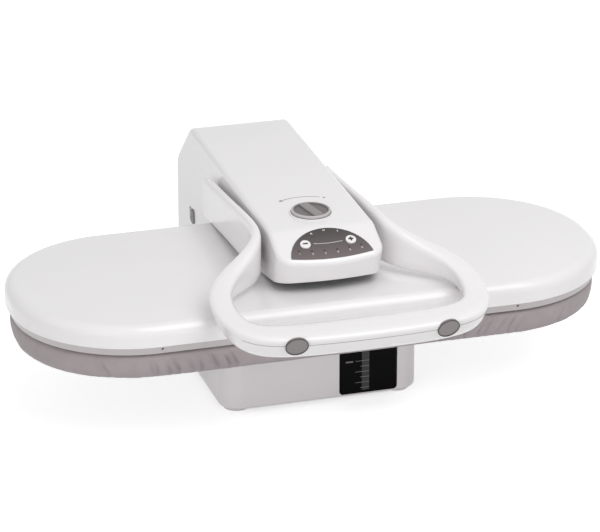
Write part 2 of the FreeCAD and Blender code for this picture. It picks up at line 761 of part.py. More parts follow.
def base_deck():
    """The plate that closes the tall part under the board."""
    deck = prism("XY", base_outline(s.base_wall + s.fit), deck_bottom(), s.base_top)
    for x, y in boss_places():
        deck = deck.cut(screw_bore(Vector(x, y, 0), Vector(x, y, s.base_top + 1)))
    piece("base_deck", deck)


def tail_cover():
    """The plate over the low part, which carries the tower."""
    edge = s.base_wall + s.fit
    plate = prism("XY", tail_outline(edge), s.tail_top - s.base_wall, s.tail_top)
    piece("tail_cover", plate.cut(prism("XY", before_tail(), 0, s.base_top)))


def rubber_feet():
    feet = []
    across = "(base_width / 2 - foot_margin)"
    front, back = "base_front + foot_front", "tail_back - foot_back"
    for name, x, y in (("front_left", "-" + across, front), ("front_right", across, front),
                       ("rear_left", "-" + across, back), ("rear_right", across, back)):
        foot = doc.addObject("Part::Cone", "foot_" + name)
        bind(foot, "Radius1", "foot_radius - foot_taper")
        bind(foot, "Radius2", "foot_radius")
        bind(foot, "Height", "foot_height")
        bind(foot, ".Placement.Base.x", x)
        bind(foot, ".Placement.Base.y", y)
        feet.append(foot)
    group("rubber_feet", feet)


def screw(head_seat, tip):
    """A screw whose head lies on head_seat and whose shank runs to tip."""
    out = (head_seat - tip).normalize()
    head = cylinder(s.screw_head, head_seat, head_seat + out * s.screw_cap)
    return cylinder(s.screw_radius, tip, head_seat).fuse(head)


def base_screws():
    drop = Vector(0, 0, s.screw_length)
    seats = [Vector(x, y, s.base_top) for x, y in boss_places()]
    piece("base_screws", Part.makeCompound([screw(p, p - drop) for p in seats]))


def water_pump():
    """A small pump on a saddle, with its inlet at the back and its outlet on top."""
    turn = Rotation(X_AXIS, -90)
    height = FLOOR + " + pump_lift + pump_radius"
    start = "plate_y - pump_length / 2"
    barrel = rod("pump_barrel", "pump_radius", "pump_length", ("pump_x", start, height), turn)
    inlet = rod("pump_inlet", "valve_radius", "pump_length + valve_block", ("pump_x", start, height), turn)
    outlet = rod("pump_outlet", "valve_radius", "pump_radius + pump_lift", ("pump_x", "plate_y", height))
    saddle = block("pump_saddle", ("pump_x - pump_radius", "plate_y - pump_length / 4", FLOOR),
                   ("2 * pump_radius", "pump_length / 2", "pump_lift + pump_radius / 2"))
    keep(fused("water_pump", [barrel, inlet, outlet, saddle]), "water_pump")


def terminal_block():
    """Five screw terminals in a row on the floor of the low part."""
    low = ("-terminal_length / 2", "(base_back + hinge_y) / 2", FLOOR)
    bar = block("terminal_bar", low, ("terminal_length", "terminal_depth", "terminal_height"))
    wells = []
    for i in range(5):
        place = ("terminal_length * (%d - 2) / 5" % i, "(base_back + hinge_y) / 2 + terminal_depth / 2",
                 FLOOR + " + terminal_height / 2")
        wells.append(rod("terminal_well_%d" % i, "terminal_length / 14", "terminal_height", place))
    keep(less("terminal_block", bar, fused("terminal_wells", wells)), "terminal_block")


# The water tank

def tank_back():
    return s.base_front + s.tank_depth


def outlet_place():
    return (s.tank_left + s.tank_right) / 2, tank_bottom() + s.valve_height


def water_tank():
    """The smoked tank, open under its lid, with its face flush with the base."""
    low = tank_bottom()
    outline = trough(s.tank_left, s.tank_right, low, s.tank_top, s.tank_corner)
    block_form = prism("XZ", outline, s.base_front, tank_back())
    wall = s.tank_wall
    shelf = s.tank_top - s.lid_thick
    inside = trough(s.tank_left + wall, s.tank_right - wall, low + wall, s.tank_top + 1, s.tank_corner - wall)
    tank = block_form.cut(prism("XZ", inside, s.base_front + wall, tank_back() - wall))
    rim = rectangle(s.tank_left - 1, s.tank_right + 1, shelf, s.tank_top + 1)
    tank = tank.cut(prism("XZ", rim, s.base_front + wall, tank_back() + 1))
    x, z = outlet_place()
    bore = s.valve_radius + s.fit + s.seal_width
    outlet = cylinder(bore, Vector(x, tank_back() - 2 * wall, z), Vector(x, tank_back() + 1, z))
    piece("water_tank", tank.cut(outlet))


def tank_lid():
    shelf = s.tank_top - s.lid_thick
    middle = (s.tank_left + s.tank_right) / 2
    top = rectangle(s.tank_left, s.tank_right, s.base_front + s.tank_wall, tank_back())
    lid = prism("XY", top, shelf, s.tank_top)
    hole = Vector(middle, plug_place(), shelf - 1)
    piece("tank_lid", lid.cut(cylinder(s.plug_radius - s.tank_wall, hole, hole + Z_AXIS * 2 * s.lid_thick)))


def plug_place():
    return s.base_front + s.tank_depth / 2 + s.plug_y


def tank_plug():
    """A push-in filler plug with a cross grip under the rim of the lid."""
    middle = Vector((s.tank_left + s.tank_right) / 2, plug_place(), s.tank_top - s.lid_thick)
    stopper = cylinder(s.plug_radius - s.tank_wall - s.pin_play, middle - Vector(0, 0, s.plug_height),
                       middle + Vector(0, 0, s.lid_thick))
    recess = cylinder(s.plug_radius - 3 * s.tank_wall, middle + Vector(0, 0, s.lid_thick / 2),
                      middle + Vector(0, 0, 2 * s.lid_thick))
    half_x, half_y = s.tank_wall / 2, s.plug_radius - 2 * s.tank_wall
    across = rectangle(middle.x - half_x, middle.x + half_x, middle.y - half_y, middle.y + half_y)
    grip = prism("XY", across, middle.z, s.tank_top)
    piece("tank_plug", stopper.cut(recess).fuse(grip).removeSplitter())


def tank_seal():
    x, z = outlet_place()
    start = Vector(x, tank_back() - s.tank_wall, z)
    end = Vector(x, tank_back(), z)
    ring = cylinder(s.valve_radius + s.fit + s.seal_width, start, end)
    piece("tank_seal", ring.cut(cylinder(s.valve_radius + s.fit, start, end)))


def tank_valve_seat():
    """The block behind the tank whose spigot enters the tank's seal."""
    x, z = outlet_place()
    half = s.valve_block / 2
    back = tank_back() + s.tank_gap
    seat = prism("XZ", rectangle(x - half, x + half, floor_top(), z + half, 2), back, back + half)
    spigot = cylinder(s.valve_radius, Vector(x, tank_back() - s.tank_wall, z), Vector(x, back + half, z))
    bore = cylinder(s.valve_radius / 2, Vector(x, 0, z), Vector(x, back + half + 1, z))
    piece("tank_valve_seat", seat.fuse(spigot).cut(bore))


# The rear tower and the hinge

def eye_profile(foot_low, foot_high, foot_z, eye):
    """A leg from its foot to an eye about the hinge pin."""
    top = s.hinge_z + eye
    front, back = s.hinge_y - eye, s.hinge_y + eye
    curve = s.eye_share * eye
    return ((foot_low, foot_z, 0), (foot_high, foot_z, 0), (back, s.hinge_z, 0), (back, top, curve),
            (front, top, curve), (front, s.hinge_z, 0))


def hinge_bore(radius, start, end):
    return cylinder(radius, Vector(start, s.hinge_y, s.hinge_z), Vector(end, s.hinge_y, s.hinge_z))


def tower_bracket():
    """A bent steel bracket: a foot plate and two legs with eyes for the pin."""
    half = s.leg_depth / 2
    low, high = s.hinge_y - half, s.hinge_y + half
    form = prism("XY", rectangle(-s.leg_out, s.leg_out, low, high), s.tail_top, s.tail_top + s.leg_sheet)
    for side in SIDES:
        inner = side * (s.leg_out - s.leg_sheet)
        leg = eye_profile(low, high, s.tail_top, s.leg_eye)
        form = form.fuse(prism("YZ", leg, inner, side * s.leg_out))
    bore = hinge_bore(s.pin_radius + s.pin_play, -s.leg_out - 1, s.leg_out + 1)
    piece("tower_bracket", form.cut(bore).removeSplitter())


def hinge_pin():
    half = "leg_out + pin_overhang"
    keep(rod("hinge_pin", "pin_radius", "2 * (%s)" % half, ("-(%s)" % half, "hinge_y", "hinge_z"),
             Rotation(Y_AXIS, 90)), "hinge_pin")


def hinge_clips():
    """A retaining clip on each end of the pin, outside the legs."""
    clips = []
    for side in SIDES:
        start = side * (s.leg_out + s.fit)
        end = start + side * s.clip_thick
        clip = hinge_bore(s.clip_radius, start, end)
        clips.append(clip.cut(hinge_bore(s.pin_radius + s.pin_play, start, end)))
    piece("hinge_clips", Part.makeCompound(clips))


def tower_cover():
    """A collar round the foot of the legs, with the cord inlet's hole at the back."""
    half = s.tower_depth / 2
    outline = rectangle(-s.tower_out, s.tower_out, s.hinge_y - half, s.hinge_y + half, s.tower_corner)
    wall = s.tower_wall
    in_x, in_y = s.tower_out - wall, half - wall
    inside = rectangle(-in_x, in_x, s.hinge_y - in_y, s.hinge_y + in_y, s.tower_corner - wall)
    collar = prism("XY", outline, s.tail_top, s.tower_top).cut(prism("XY", inside, 0, s.hinge_z))
    rear = s.hinge_y + half
    start, end = Vector(0, s.hinge_y, s.gland_z), Vector(0, rear + 1, s.gland_z)
    piece("tower_cover", collar.cut(cylinder(s.gland_radius + s.pin_play, start, end)))


def cord_gland():
    """The bushed inlet for the mains lead in the back of the tower."""
    rear = s.hinge_y + s.tower_depth / 2
    start = Vector(0, rear - s.tower_wall, s.gland_z)
    wall = Vector(0, rear, s.gland_z)
    flange = wall + Vector(0, s.tower_wall, 0)
    end = wall + Vector(0, s.gland_length, 0)
    form = cylinder(s.gland_radius, start, end).fuse(cylinder(s.gland_flange, wall, flange))
    form = form.cut(cylinder(s.gland_bore, start, end)).removeSplitter()
    lip = [e for e in form.Edges if e.BoundBox.YMin > end.y - 0.01]
    piece("cord_gland", form.makeFillet(s.gland_bore / 4, lip))


def channel_bottom():
    return s.plate_top + s.channel_lift


def head_channel():
    """The steel channel that carries the plate on the hinge: a strap with two side flanges."""
    low = channel_bottom()
    high = low + s.channel_sheet
    half = s.channel_half
    strap = prism("XY", rectangle(-half, half, s.channel_front, s.hinge_y + s.leg_eye), low, high)
    start = skirt_front() + s.hood_wall + s.channel_sheet
    eye = s.leg_eye - 1
    side_form = ((start, high, 0), (start, s.hinge_z + eye, 0), (s.hinge_y - 2 * eye, s.hinge_z - eye, 0),
                 (s.hinge_y + eye, s.hinge_z - eye, s.eye_share * eye), (s.hinge_y + eye, high, 0))
    form = strap
    for side in SIDES:
        form = form.fuse(prism("YZ", side_form, side * (half - s.channel_sheet), side * half))
    form = form.cut(hinge_bore(s.bush_radius, -half - 1, half + 1))
    for x, y in bolt_places():
        bore = Vector(x, y, low - 1)
        form = form.cut(screw_bore(bore, bore + Z_AXIS * 3 * s.channel_sheet))
    piece("head_channel", form.removeSplitter())


def hinge_bushes():
    """Flanged bushes in the channel, which turn on the pin."""
    bushes = []
    for side in SIDES:
        outer = side * s.channel_half
        inner = side * (s.channel_half - s.channel_sheet)
        lip = inner - side * s.bush_lip
        end = outer + side * s.bush_lip
        form = hinge_bore(s.bush_radius, inner, end).fuse(hinge_bore(s.bush_flange, lip, inner))
        bushes.append(form.cut(hinge_bore(s.pin_radius + s.pin_play, lip, end)))
    piece("hinge_bushes", Part.makeCompound(bushes))


def channel_spacers():
    """Sleeves between the plate cover and the channel, under the bolts."""
    sleeves = []
    for x, y in bolt_places():
        start = Vector(x, y, s.plate_top)
        end = Vector(x, y, channel_bottom())
        sleeves.append(cylinder(s.screw_head, start, end).cut(screw_bore(start, end)))
    piece("channel_spacers", Part.makeCompound(sleeves))


def head_screws():
    """Bolts through the channel and the cover into the steam chamber."""
    seat = channel_bottom() + s.channel_sheet
    tip = wing_bottom()
    bolts = [screw(Vector(x, y, seat), Vector(x, y, tip)) for x, y in bolt_places()]
    piece("head_screws", Part.makeCompound(bolts))


# The hood over the head

def skirt_front():
    return s.plate_y + s.plate_depth / 2 + s.skirt_gap


def brow():
    """Where the sloping face meets the top."""
    angle = math.radians(s.slope)
    return s.nose_y + s.slope_length * math.cos(angle), s.nose_z + s.slope_length * math.sin(angle)


def top_slope():
    """Slope of the hood's top, in degrees."""
    brow_y, brow_z = brow()
    return math.degrees(math.atan2(s.crest_z - brow_z, s.crest_y - brow_y))


def hood_profile():
    """The hood seen from its side, from the foot of the nose over the top to the rear skirt."""
    brow_y, brow_z = brow()
    angle = math.radians(s.slope)
    spare = s.nose_spare
    return (
        (s.nose_foot - spare, nose_foot_z(), 0),
        (s.nose_y - spare * math.cos(angle), s.nose_z - spare * math.sin(angle), 0),
        (brow_y, brow_z, s.brow_round),
        (s.crest_y, s.crest_z, s.crest_round),
        (s.hood_back, s.shoulder_z, s.crest_round),
        (s.hood_back, s.skirt_bottom, 0),
        (skirt_front(), s.skirt_bottom, 0),
        (skirt_front(), s.plate_top, 0),
        (s.nose_foot + s.nose_run, s.plate_top, 0),
        (s.nose_foot, nose_foot_z(), 0),
    )


def nose_foot_z():
    return s.plate_top + s.nose_lift


def nose_lean():
    """How far the nose leans forward, in degrees."""
    return math.degrees(math.atan2(s.nose_foot - s.nose_y, s.nose_z - nose_foot_z()))


def nose_plan(inset):
    """The hood's plan along the nose's lean: two shallow faces, a wide round and two corners."""
    half = s.hood_width / 2 - inset
    spread = math.atan2(s.nose_bow, s.hood_width / 2)
    tip = inset / math.cos(spread) - s.nose_curve * (1 / math.cos(spread) - 1)
    side = tip + half * math.tan(spread)
    corner = s.nose_corner - inset
    far = s.hood_back - s.nose_y
    outline = ((-half, 2 * far, 0), (-half, side, corner), (0, tip, s.nose_curve - inset),
               (half, side, corner), (half, 2 * far, 0))
    place = Placement(Vector(0, s.nose_foot, nose_foot_z()), Rotation(X_AXIS, nose_lean()))
    return placed(prism("XY", outline, -far, far), place)


def hood_block(inset):
    """The hood's form moved in by inset, bowed at the nose and round along its upper edges."""
    face = Part.Face(rounded_wire("YZ", hood_profile(), 0))
    if inset:
        face = face.makeOffset2D(-inset, 2)
    half = s.hood_width / 2 - inset
    form = face.extrude(X_AXIS * 2 * half)
    form.translate(Vector(-half, 0, 0))
    form = form.common(nose_plan(inset))
    lean = Rotation(X_AXIS, nose_lean()).multVec(Z_AXIS)
    nose_end = (s.nose_y + brow()[0]) / 2
    slope_out = Rotation(X_AXIS, s.slope).multVec(Z_AXIS)
    slope_at = Vector(0, s.nose_y, s.nose_z) - slope_out * inset
    upper = []
    for edge in form.Edges:
        at = (edge.FirstParameter + edge.LastParameter) / 2
        middle = edge.valueAt(at)
        lengthwise = abs(abs(middle.x) - half) < 0.01 and abs(edge.tangentAt(at).dot(lean)) < 0.99
        above = middle.z > nose_foot_z() + inset + s.fit
        behind = middle.y > s.hood_back - inset - s.fit
        on_face = abs((middle - slope_at).dot(slope_out)) < 0.01
        if (lengthwise and (above or behind)) or (on_face and middle.y < nose_end):
            upper.append(edge)
    return form.makeFillet(s.hood_round - inset, upper)


def hood_hollow():
    """The space inside the hood, open towards the plate and the tower."""
    half = s.hood_width / 2 - s.hood_wall
    deep = 2 * s.hood_wall
    low, high = s.plate_top - deep, s.plate_top + deep
    nose, back = s.nose_foot + s.hood_wall, skirt_front() - s.hood_wall
    front = ((nose, low, 0), (back, low, 0), (back, high, 0), (s.nose_foot + s.nose_run, high, 0),
             (nose, high + s.nose_lift, 0))
    rear = rectangle(skirt_front() + s.hood_wall, s.hood_back - s.hood_wall, s.skirt_bottom - deep,
                     s.skirt_bottom + deep)
    opening = prism("YZ", front, -half, half).common(nose_plan(s.hood_wall))
    return hood_block(s.hood_wall).fuse([opening, prism("YZ", rear, -half, half)])


def on_slope():
    """The panel's place: its lower edge, with +Y up the slope and +Z out of it."""
    angle = math.radians(s.slope)
    low = Vector(0, s.nose_y + s.panel_start * math.cos(angle), s.nose_z + s.panel_start * math.sin(angle))
    return Placement(low, Rotation(X_AXIS, s.slope))


def on_top():
    """The knob's place on the top, with +Z out of it."""
    brow_y, brow_z = brow()
    rise = math.tan(math.radians(top_slope()))
    middle = Vector(0, s.knob_y, brow_z + (s.knob_y - brow_y) * rise)
    return Placement(middle, Rotation(X_AXIS, top_slope()))


def placed(shape, place):
    moved = shape.copy()
    moved.Placement = place.multiply(moved.Placement)
    return moved


def half_moon(inset, low, high):
    """The panel's outline: a lower edge that bows down a little under a low arch."""
    half = s.panel_width / 2 - inset
    left, right = Vector(-half, inset, low), Vector(half, inset, low)
    arch = Part.Arc(right, Vector(0, s.panel_rise - inset, low), left).toShape()
    sill = Part.Arc(left, Vector(0, inset - s.panel_bow, low), right).toShape()
    face = Part.Face(Part.Wire([sill, arch]))
    return face.extrude(Vector(0, 0, high - low))


def head_housing():
    """The hood moulding, with its seats for the panel, knob, lock and handle pins."""
    form = hood_block(0).cut(hood_hollow())
    arch = rectangle(-s.arch_half, s.arch_half, s.skirt_bottom - s.arch_top, s.arch_top, s.crest_round / 3)
    cuts = [prism("XZ", arch, s.hood_back - 2 * s.hood_wall, s.hood_back + 1)]
    seat = s.panel_proud - s.panel_thick
    cuts.append(placed(half_moon(-s.pin_play, seat, 2 * s.panel_thick), on_slope()))
    cuts.append(placed(half_moon(s.panel_lip, -4 * s.hood_wall, 2 * s.panel_thick), on_slope()))
    bore = s.stem_radius + s.fit + s.socket_wall + s.pin_play
    cuts.append(placed(cylinder(bore, Vector(0, 0, -4 * s.hood_wall), Vector(0, 0, s.hood_wall)), on_top()))
    for side in SIDES:
        pin = Vector(0, s.pivot_y, s.pivot_z)
        cuts.append(cylinder(s.pin_radius + s.pin_play, pin, pin + X_AXIS * side * s.hood_width))
    side_face = -s.hood_width / 2
    lock = lock_outline(s.lock_length, s.lock_height)
    cuts.append(prism("YZ", lock, side_face - 1, side_face + s.lock_depth))
    for cut in cuts:
        form = form.cut(cut)
    piece("head_housing", form.removeSplitter())


def lock_outline(length, height):
    half_y, half_z = length / 2, height / 2
    return rectangle(s.lock_y - half_y, s.lock_y + half_y, s.lock_z - half_z, s.lock_z + half_z, height / 4)


def lock_slider():
    """The travel lock: a ribbed slider in its recess on the left side, at the front of its travel."""
    face = -s.hood_width / 2
    floor = face + s.lock_depth
    front = s.lock_y - s.lock_length / 2 + s.fit
    half = s.lock_height / 2 - s.fit
    outline = rectangle(front, front + s.lock_key, s.lock_z - half, s.lock_z + half, s.lock_height / 4)
    form = prism("YZ", outline, face - s.lock_proud, floor - s.fit / 2)
    for i in range(3):
        y = front + s.lock_key * (i + 1) / 4
        rib = rectangle(y - s.fit, y + s.fit, s.lock_z - half, s.lock_z + half)
        form = form.cut(prism("YZ", rib, face - 2 * s.lock_proud, face - s.lock_proud / 2))
    piece("lock_slider", form)


def handle_pivot_pins():
    """Headed pins from inside the hood into the handle's arms."""
    pins = []
    inside = s.hood_width / 2 - s.hood_wall
    tip = bush_span(1)[1].x - 2 * s.fit
    for side in SIDES:
        seat = Vector(side * inside, s.pivot_y, s.pivot_z)
        end = Vector(side * tip, s.pivot_y, s.pivot_z)
        head = seat - X_AXIS * side * s.channel_sheet
        pins.append(cylinder(s.pin_radius, seat, end).fuse(cylinder(s.clip_radius, head, seat)))
    piece("handle_pivot_pins", Part.makeCompound(pins))


# Controls on the hood

def lens_places():
    """A lower row of six along the panel's bowed edge and an upper row of three under its arch."""
    half = s.panel_width / 2
    low = []
    for i in range(6):
        x = (i - 2.5) * s.lens_pitch
        low.append((x, s.lens_low - s.panel_bow * (1 - (x / half) ** 2)))
    high = [(side * s.lens_high_pitch, s.lens_high) for side in SIDES]
    return low + high + [(0, s.lens_high + s.lens_arch)]


def panel_bottom():
    return s.panel_proud - s.panel_thick


def control_panel():
    """The half-moon panel, with holes for two buttons and the indicator lenses."""
    form = half_moon(0, panel_bottom(), s.panel_proud)
    for side in SIDES:
        middle = Vector(side * s.button_x, s.button_rise, panel_bottom())
        form = form.cut(cylinder(s.button_radius + s.fit, middle, middle + Z_AXIS * 2 * s.panel_thick))
    for x, y in lens_places():
        start = Vector(x, y, panel_bottom())
        form = form.cut(cylinder(s.lens_radius + s.pin_play, start, start + Z_AXIS * 2 * s.panel_thick))
    piece("control_panel", form, on_slope())


def indicator_lenses():
    lenses = []
    for x, y in lens_places():
        start = Vector(x, y, panel_bottom())
        lenses.append(cylinder(s.lens_radius, start, Vector(x, y, s.panel_proud + s.pin_play)))
    piece("indicator_lenses", Part.makeCompound(lenses), on_slope())


def circuit_board():
    """The board under the panel, on two pillars, with a switch under each button."""
    top = panel_bottom() - s.board_drop
    half = s.circuit_width / 2
    low_y = s.panel_lip
    sheet_form = rectangle(-half, half, low_y, low_y + s.circuit_depth, s.circuit_thick)
    form = prism("XY", sheet_form, top - s.circuit_thick, top)
    pillar = s.lens_radius
    for side in SIDES:
        foot = Vector(side * (half - 2 * pillar), low_y + 2 * pillar, top - s.circuit_thick / 2)
        form = form.fuse(cylinder(pillar, foot, Vector(foot.x, foot.y, panel_bottom())))
        middle = Vector(side * s.button_x, s.button_rise, top - s.circuit_thick / 2)
        switch = cylinder(s.button_radius / 2, middle, Vector(middle.x, middle.y, top + s.board_drop / 3))
        form = form.fuse(switch)
    piece("circuit_board", form.removeSplitter(), on_slope())


def push_button(label, side):
    """A domed button with a flange that keeps it under the panel."""
    middle = Vector(side * s.button_x, s.button_rise, 0)
    under = panel_bottom() - s.fit
    seat = middle + Z_AXIS * under
    cap = cylinder(s.button_radius, seat, middle + Z_AXIS * (s.panel_proud + s.button_proud))
    rim = [e for e in cap.Edges if e.BoundBox.ZMin > s.panel_proud]
    cap = cap.makeFillet(s.button_proud / 2, rim)
    flange = cylinder(s.button_flange, seat - Z_AXIS * s.panel_thick / 2, seat)
    reach = panel_bottom() - s.board_drop * 2 / 3 + s.button_travel + s.fit
    stem = cylinder(s.button_radius / 2, middle + Z_AXIS * reach, seat)
    piece(label, cap.fuse([flange, stem]).removeSplitter(), on_slope())


def knob_bezel():
    """The flat ring on the hood round the knob."""
    inner = s.stem_radius + s.fit
    top = Z_AXIS * s.bezel_thick
    form = cylinder(s.bezel_radius, Vector(), top).cut(cylinder(inner, Vector(), top))
    piece("knob_bezel", form, on_top())


def filter_socket():
    """The tube under the knob, hung from the ring, which holds the knob's seal and filter."""
    bore = s.stem_radius + s.fit
    depth = on_top().Base.z - s.plate_top - s.fit - s.socket_wall
    outer = cylinder(bore + s.socket_wall, Vector(0, 0, -depth), Vector())
    inner = cylinder(bore, Vector(0, 0, s.socket_wall - depth), Vector())
    piece("filter_socket", outer.cut(inner), on_top())


def descaler_knob():
    """The twist cap: a low dished skirt with a grip bar across its dish and a stem into the socket."""
    low = s.bezel_thick + s.fit
    high = low + s.knob_height
    floor = high - s.dish_depth
    top = high + s.grip_proud
    skirt = cylinder(s.knob_radius, Z_AXIS * low, Z_AXIS * high)
    dish_radius = s.knob_radius - s.dish_rim
    skirt = skirt.cut(cylinder(dish_radius, Z_AXIS * floor, Z_AXIS * top))
    rim = [e for e in skirt.Edges if e.BoundBox.ZMin > high - 0.01]
    skirt = skirt.makeFillet(s.dish_rim / 3, rim)
    half_y = s.grip_width / 2
    half_x = dish_radius + s.dish_rim / 4
    bar = prism("XY", rectangle(-half_x, half_x, -half_y, half_y, half_y / 2), floor - s.fit, top)
    bar = bar.makeFillet(s.dish_depth, [e for e in bar.Edges if e.BoundBox.ZMin > top - 0.01])
    bar.rotate(Vector(), Z_AXIS, s.grip_turn)
    stem = cylinder(s.stem_radius, Z_AXIS * (low - s.stem_length), Z_AXIS * (low + s.fit))
    groove_z = low - s.stem_length * 2 / 3
    groove = Part.makeTorus(s.stem_radius, s.seal_radius + s.pin_play, Z_AXIS * groove_z)
    piece("descaler_knob", skirt.fuse([bar, stem]).cut(groove).removeSplitter(), on_top())


def knob_seal():
    """The sealing ring in the stem's groove."""
    groove_z = s.bezel_thick + s.fit - s.stem_length * 2 / 3
    ring = Part.makeTorus(s.stem_radius, s.seal_radius, Vector(0, 0, groove_z))
    reach = Z_AXIS * 2 * s.seal_radius
    middle = Z_AXIS * groove_z
    wall = cylinder(s.stem_radius + s.fit - s.pin_play, middle - reach, middle + reach)
    piece("knob_seal", ring.common(wall), on_top())


# The handle hoop

def hoop_course():
    """Shares of the way from arm to bar at each pole: outwards, forwards, underside, top and width."""
    return (
        (0, 0.117, 0.14, 0.16, 0),
        (0, 0.422, -0.05, -0.09, 0),
        (0, 0.571, -0.1, -0.09, 0.03),
        (0.44, 0.63, 0, 0.3, 0.27),
        (1.03, 0.718, 0.14, 0.62, 0.46),
        (1.06, 0.866, 0.62, 0.87, 0.51),
        (0.8, 0.997, 0.9, 0.95, 0.92),
        (-0.35, 1, 1, 1, 1),
    )


def hoop_stations():
    """Poles of the hoop's right half, from the arm's tail to the bar: x, y, low, high and width."""
    arm_x = s.hood_width / 2 + s.arm_gap + s.arm_width / 2
    arm_low = s.plate_top + s.arm_lift
    arm_high = arm_low + s.arm_height
    bar_low = s.plate_top - s.bar_drop
    bar_high = bar_low + s.bar_height
    run = s.hoop_front + s.bar_depth / 2 - s.pivot_y
    tail = (0, -s.arm_tail / abs(run), 0.38, 0.21, 0)
    stations = []
    for out, along, under, top, swell in (tail,) + hoop_course():
        stations.append((arm_x + out * (s.hoop_half - arm_x), s.pivot_y + along * run,
                         arm_low + under * (bar_low - arm_low), arm_high + top * (bar_high - arm_high),
                         s.arm_width + swell * (s.bar_depth - s.arm_width)))
    return stations


def hoop_poles():
    """The stations of both halves, from the left arm's tail to the right one's."""
    right = hoop_stations()
    return [(-x, y, low, high, width) for x, y, low, high, width in right] + right[::-1]


def hoop_section(poles, i, upper):
    """Poles of a section across the hoop, from seam to seam, with sides that lean in downwards."""
    x, y, low, high, width = poles[i]
    before, after = poles[max(i - 1, 0)], poles[min(i + 1, len(poles) - 1)]
    along = Vector(after[0] - before[0], after[1] - before[1], 0)
    across = Vector(along.y, -along.x, 0).normalize()
    seam = low + s.seam_share * (high - low)
    lean = s.hoop_lean * (width - s.arm_width)
    outer = high if upper else low
    half_seam = width / 2 - lean * (1 - s.seam_share)
    half_outer = width / 2 if upper else width / 2 - lean
    height = abs(outer - seam)
    reach = s.hoop_round * min(half_outer, s.crown_ratio * height)
    rise = s.hoop_round * min(height, s.crown_ratio * half_outer)
    points = []
    for side in SIDES:
        foot = Vector(x, y, seam) + across * side * half_seam
        corner = Vector(x, y, outer) + across * side * half_outer
        to_seam = (foot - corner).normalize() * rise
        bend = [foot, corner + to_seam, corner, corner - across * side * reach]
        points += bend if side < 0 else bend[::-1]
    return points


def hoop_strips():
    """The poles of a section that each of the hoop's faces runs over."""
    return (0, 1), (1, 2, 3), (3, 4), (4, 5, 6), (6, 7), (7, 0)


def hoop_skin(rows):
    """A smooth face over rows of poles: straight or bent across, cubic along the hoop."""
    across = len(rows) - 1
    spans = len(rows[0]) - 3
    face = Part.BSplineSurface()
    face.buildFromPolesMultsKnots(rows, [across + 1] * 2, [4] + [1] * (spans - 1) + [4], [0, 1],
                                  list(range(spans + 1)), False, False, across, 3)
    return face.toShape()


def hoop_end(section):
    """The flat end of an arm."""
    edges = []
    for strip in hoop_strips():
        curve = Part.BezierCurve()
        curve.setPoles([section[k] for k in strip])
        edges.append(curve.toShape())
    return Part.Face(Part.Wire(edges))


def hoop_form(upper):
    """One shell of the hoop, from the left arm round the bar to the right arm."""
    poles = hoop_poles()
    sections = [hoop_section(poles, i, upper) for i in range(len(poles))]
    faces = [hoop_skin([[section[k] for section in sections] for k in strip]) for strip in hoop_strips()]
    faces += [hoop_end(sections[0]), hoop_end(sections[-1])]
    shell = Part.makeShell(faces)
    shell.sewShape()
    form = Part.makeSolid(shell)
    if form.Volume < 0:
        form.reverse()
    return form


def cap_place(side):
    """A cap's place on the bar's leaning front face at the seam, with +Z out of it."""
    course, form = Part.BSplineCurve(), Part.BSplineCurve()
    course.buildFromPoles([Vector(*pole[:3]) for pole in hoop_poles()], False, 3)
    form.buildFromPoles([Vector(*pole[3:], 0) for pole in hoop_poles()], False, 3)
    steps = [i / s.cap_search for i in range(int(s.cap_search) + 1)]
    bar = [at for at in steps if course.value(at).y < s.hoop_front + s.bar_depth]
    at = min(bar, key=lambda step: abs(course.value(step).x - side * s.cap_x))
    place, along = course.value(at), course.tangent(at)[0]
    low, high, width = place.z, form.value(at).x, form.value(at).y
    lean = s.hoop_lean * (width - s.arm_width)
    out = Vector(-along.y, along.x, 0).normalize()
    if out.y > 0:
        out = out * -1
    middle = place + out * (width / 2 - lean * (1 - s.seam_share))
    middle.z = low + s.seam_share * (high - low)
    down = math.degrees(math.atan2(lean, high - low))
    turn = math.degrees(math.atan2(out.x, -out.y))
    return Placement(middle, Rotation(Z_AXIS, turn).multiply(Rotation(X_AXIS, 90 + down)))


def bush_span(side):
    """The bush's two ends in an arm."""
    inner = s.hood_width / 2 + s.arm_gap
    start = Vector(side * inner, s.pivot_y, s.pivot_z)
    return start, start + X_AXIS * side * (s.arm_width - s.tank_wall)


def tail_trims():
    """What is taken off the arms' tails to round them."""
    _, back, low, high, _ = hoop_stations()[0]
    front = back - 2 * s.tail_round
    reach = s.hoop_half
    spare = s.tail_round
    stock = prism("YZ", rectangle(front, back + spare, low - spare, high + spare), -reach, reach)
    return [stock.cut(prism("YZ", rectangle(front - 2 * spare, back, low, high, spare), -reach, reach))]


def handle_shells():
    """The hoop's two shells, with bores for the bushes and wells for the screws across the seam."""
    wells = []
    for side in SIDES:
        seat = cylinder(s.cap_radius + s.pin_play, Z_AXIS * -s.cap_thick, Z_AXIS * s.cap_radius)
        tip = Z_AXIS * -(s.hoop_screw + 1)
        shank = screw_bore(tip, Vector())
        head = cylinder(s.screw_head + s.pin_play, Z_AXIS * -(s.cap_thick + s.screw_cap), Vector())
        wells.append(placed(seat.fuse([shank, head]), cap_place(side)))
    bores = [cylinder(s.bush_radius + s.pin_play, *bush_span(side)) for side in SIDES]
    piece("handle_upper_shell", hoop_form(True).cut(wells + tail_trims()))
    piece("handle_lower_shell", hoop_form(False).cut(wells + bores + tail_trims()))


def handle_screw_caps():
    """The round caps that close the screw wells."""
    cap = cylinder(s.cap_radius, Z_AXIS * -s.cap_thick, Z_AXIS * s.cap_proud)
    rim = [e for e in cap.Edges if e.BoundBox.ZMin > 0]
    cap = cap.makeFillet(s.cap_proud, rim)
    piece("handle_screw_caps", Part.makeCompound([placed(cap, cap_place(side)) for side in SIDES]))


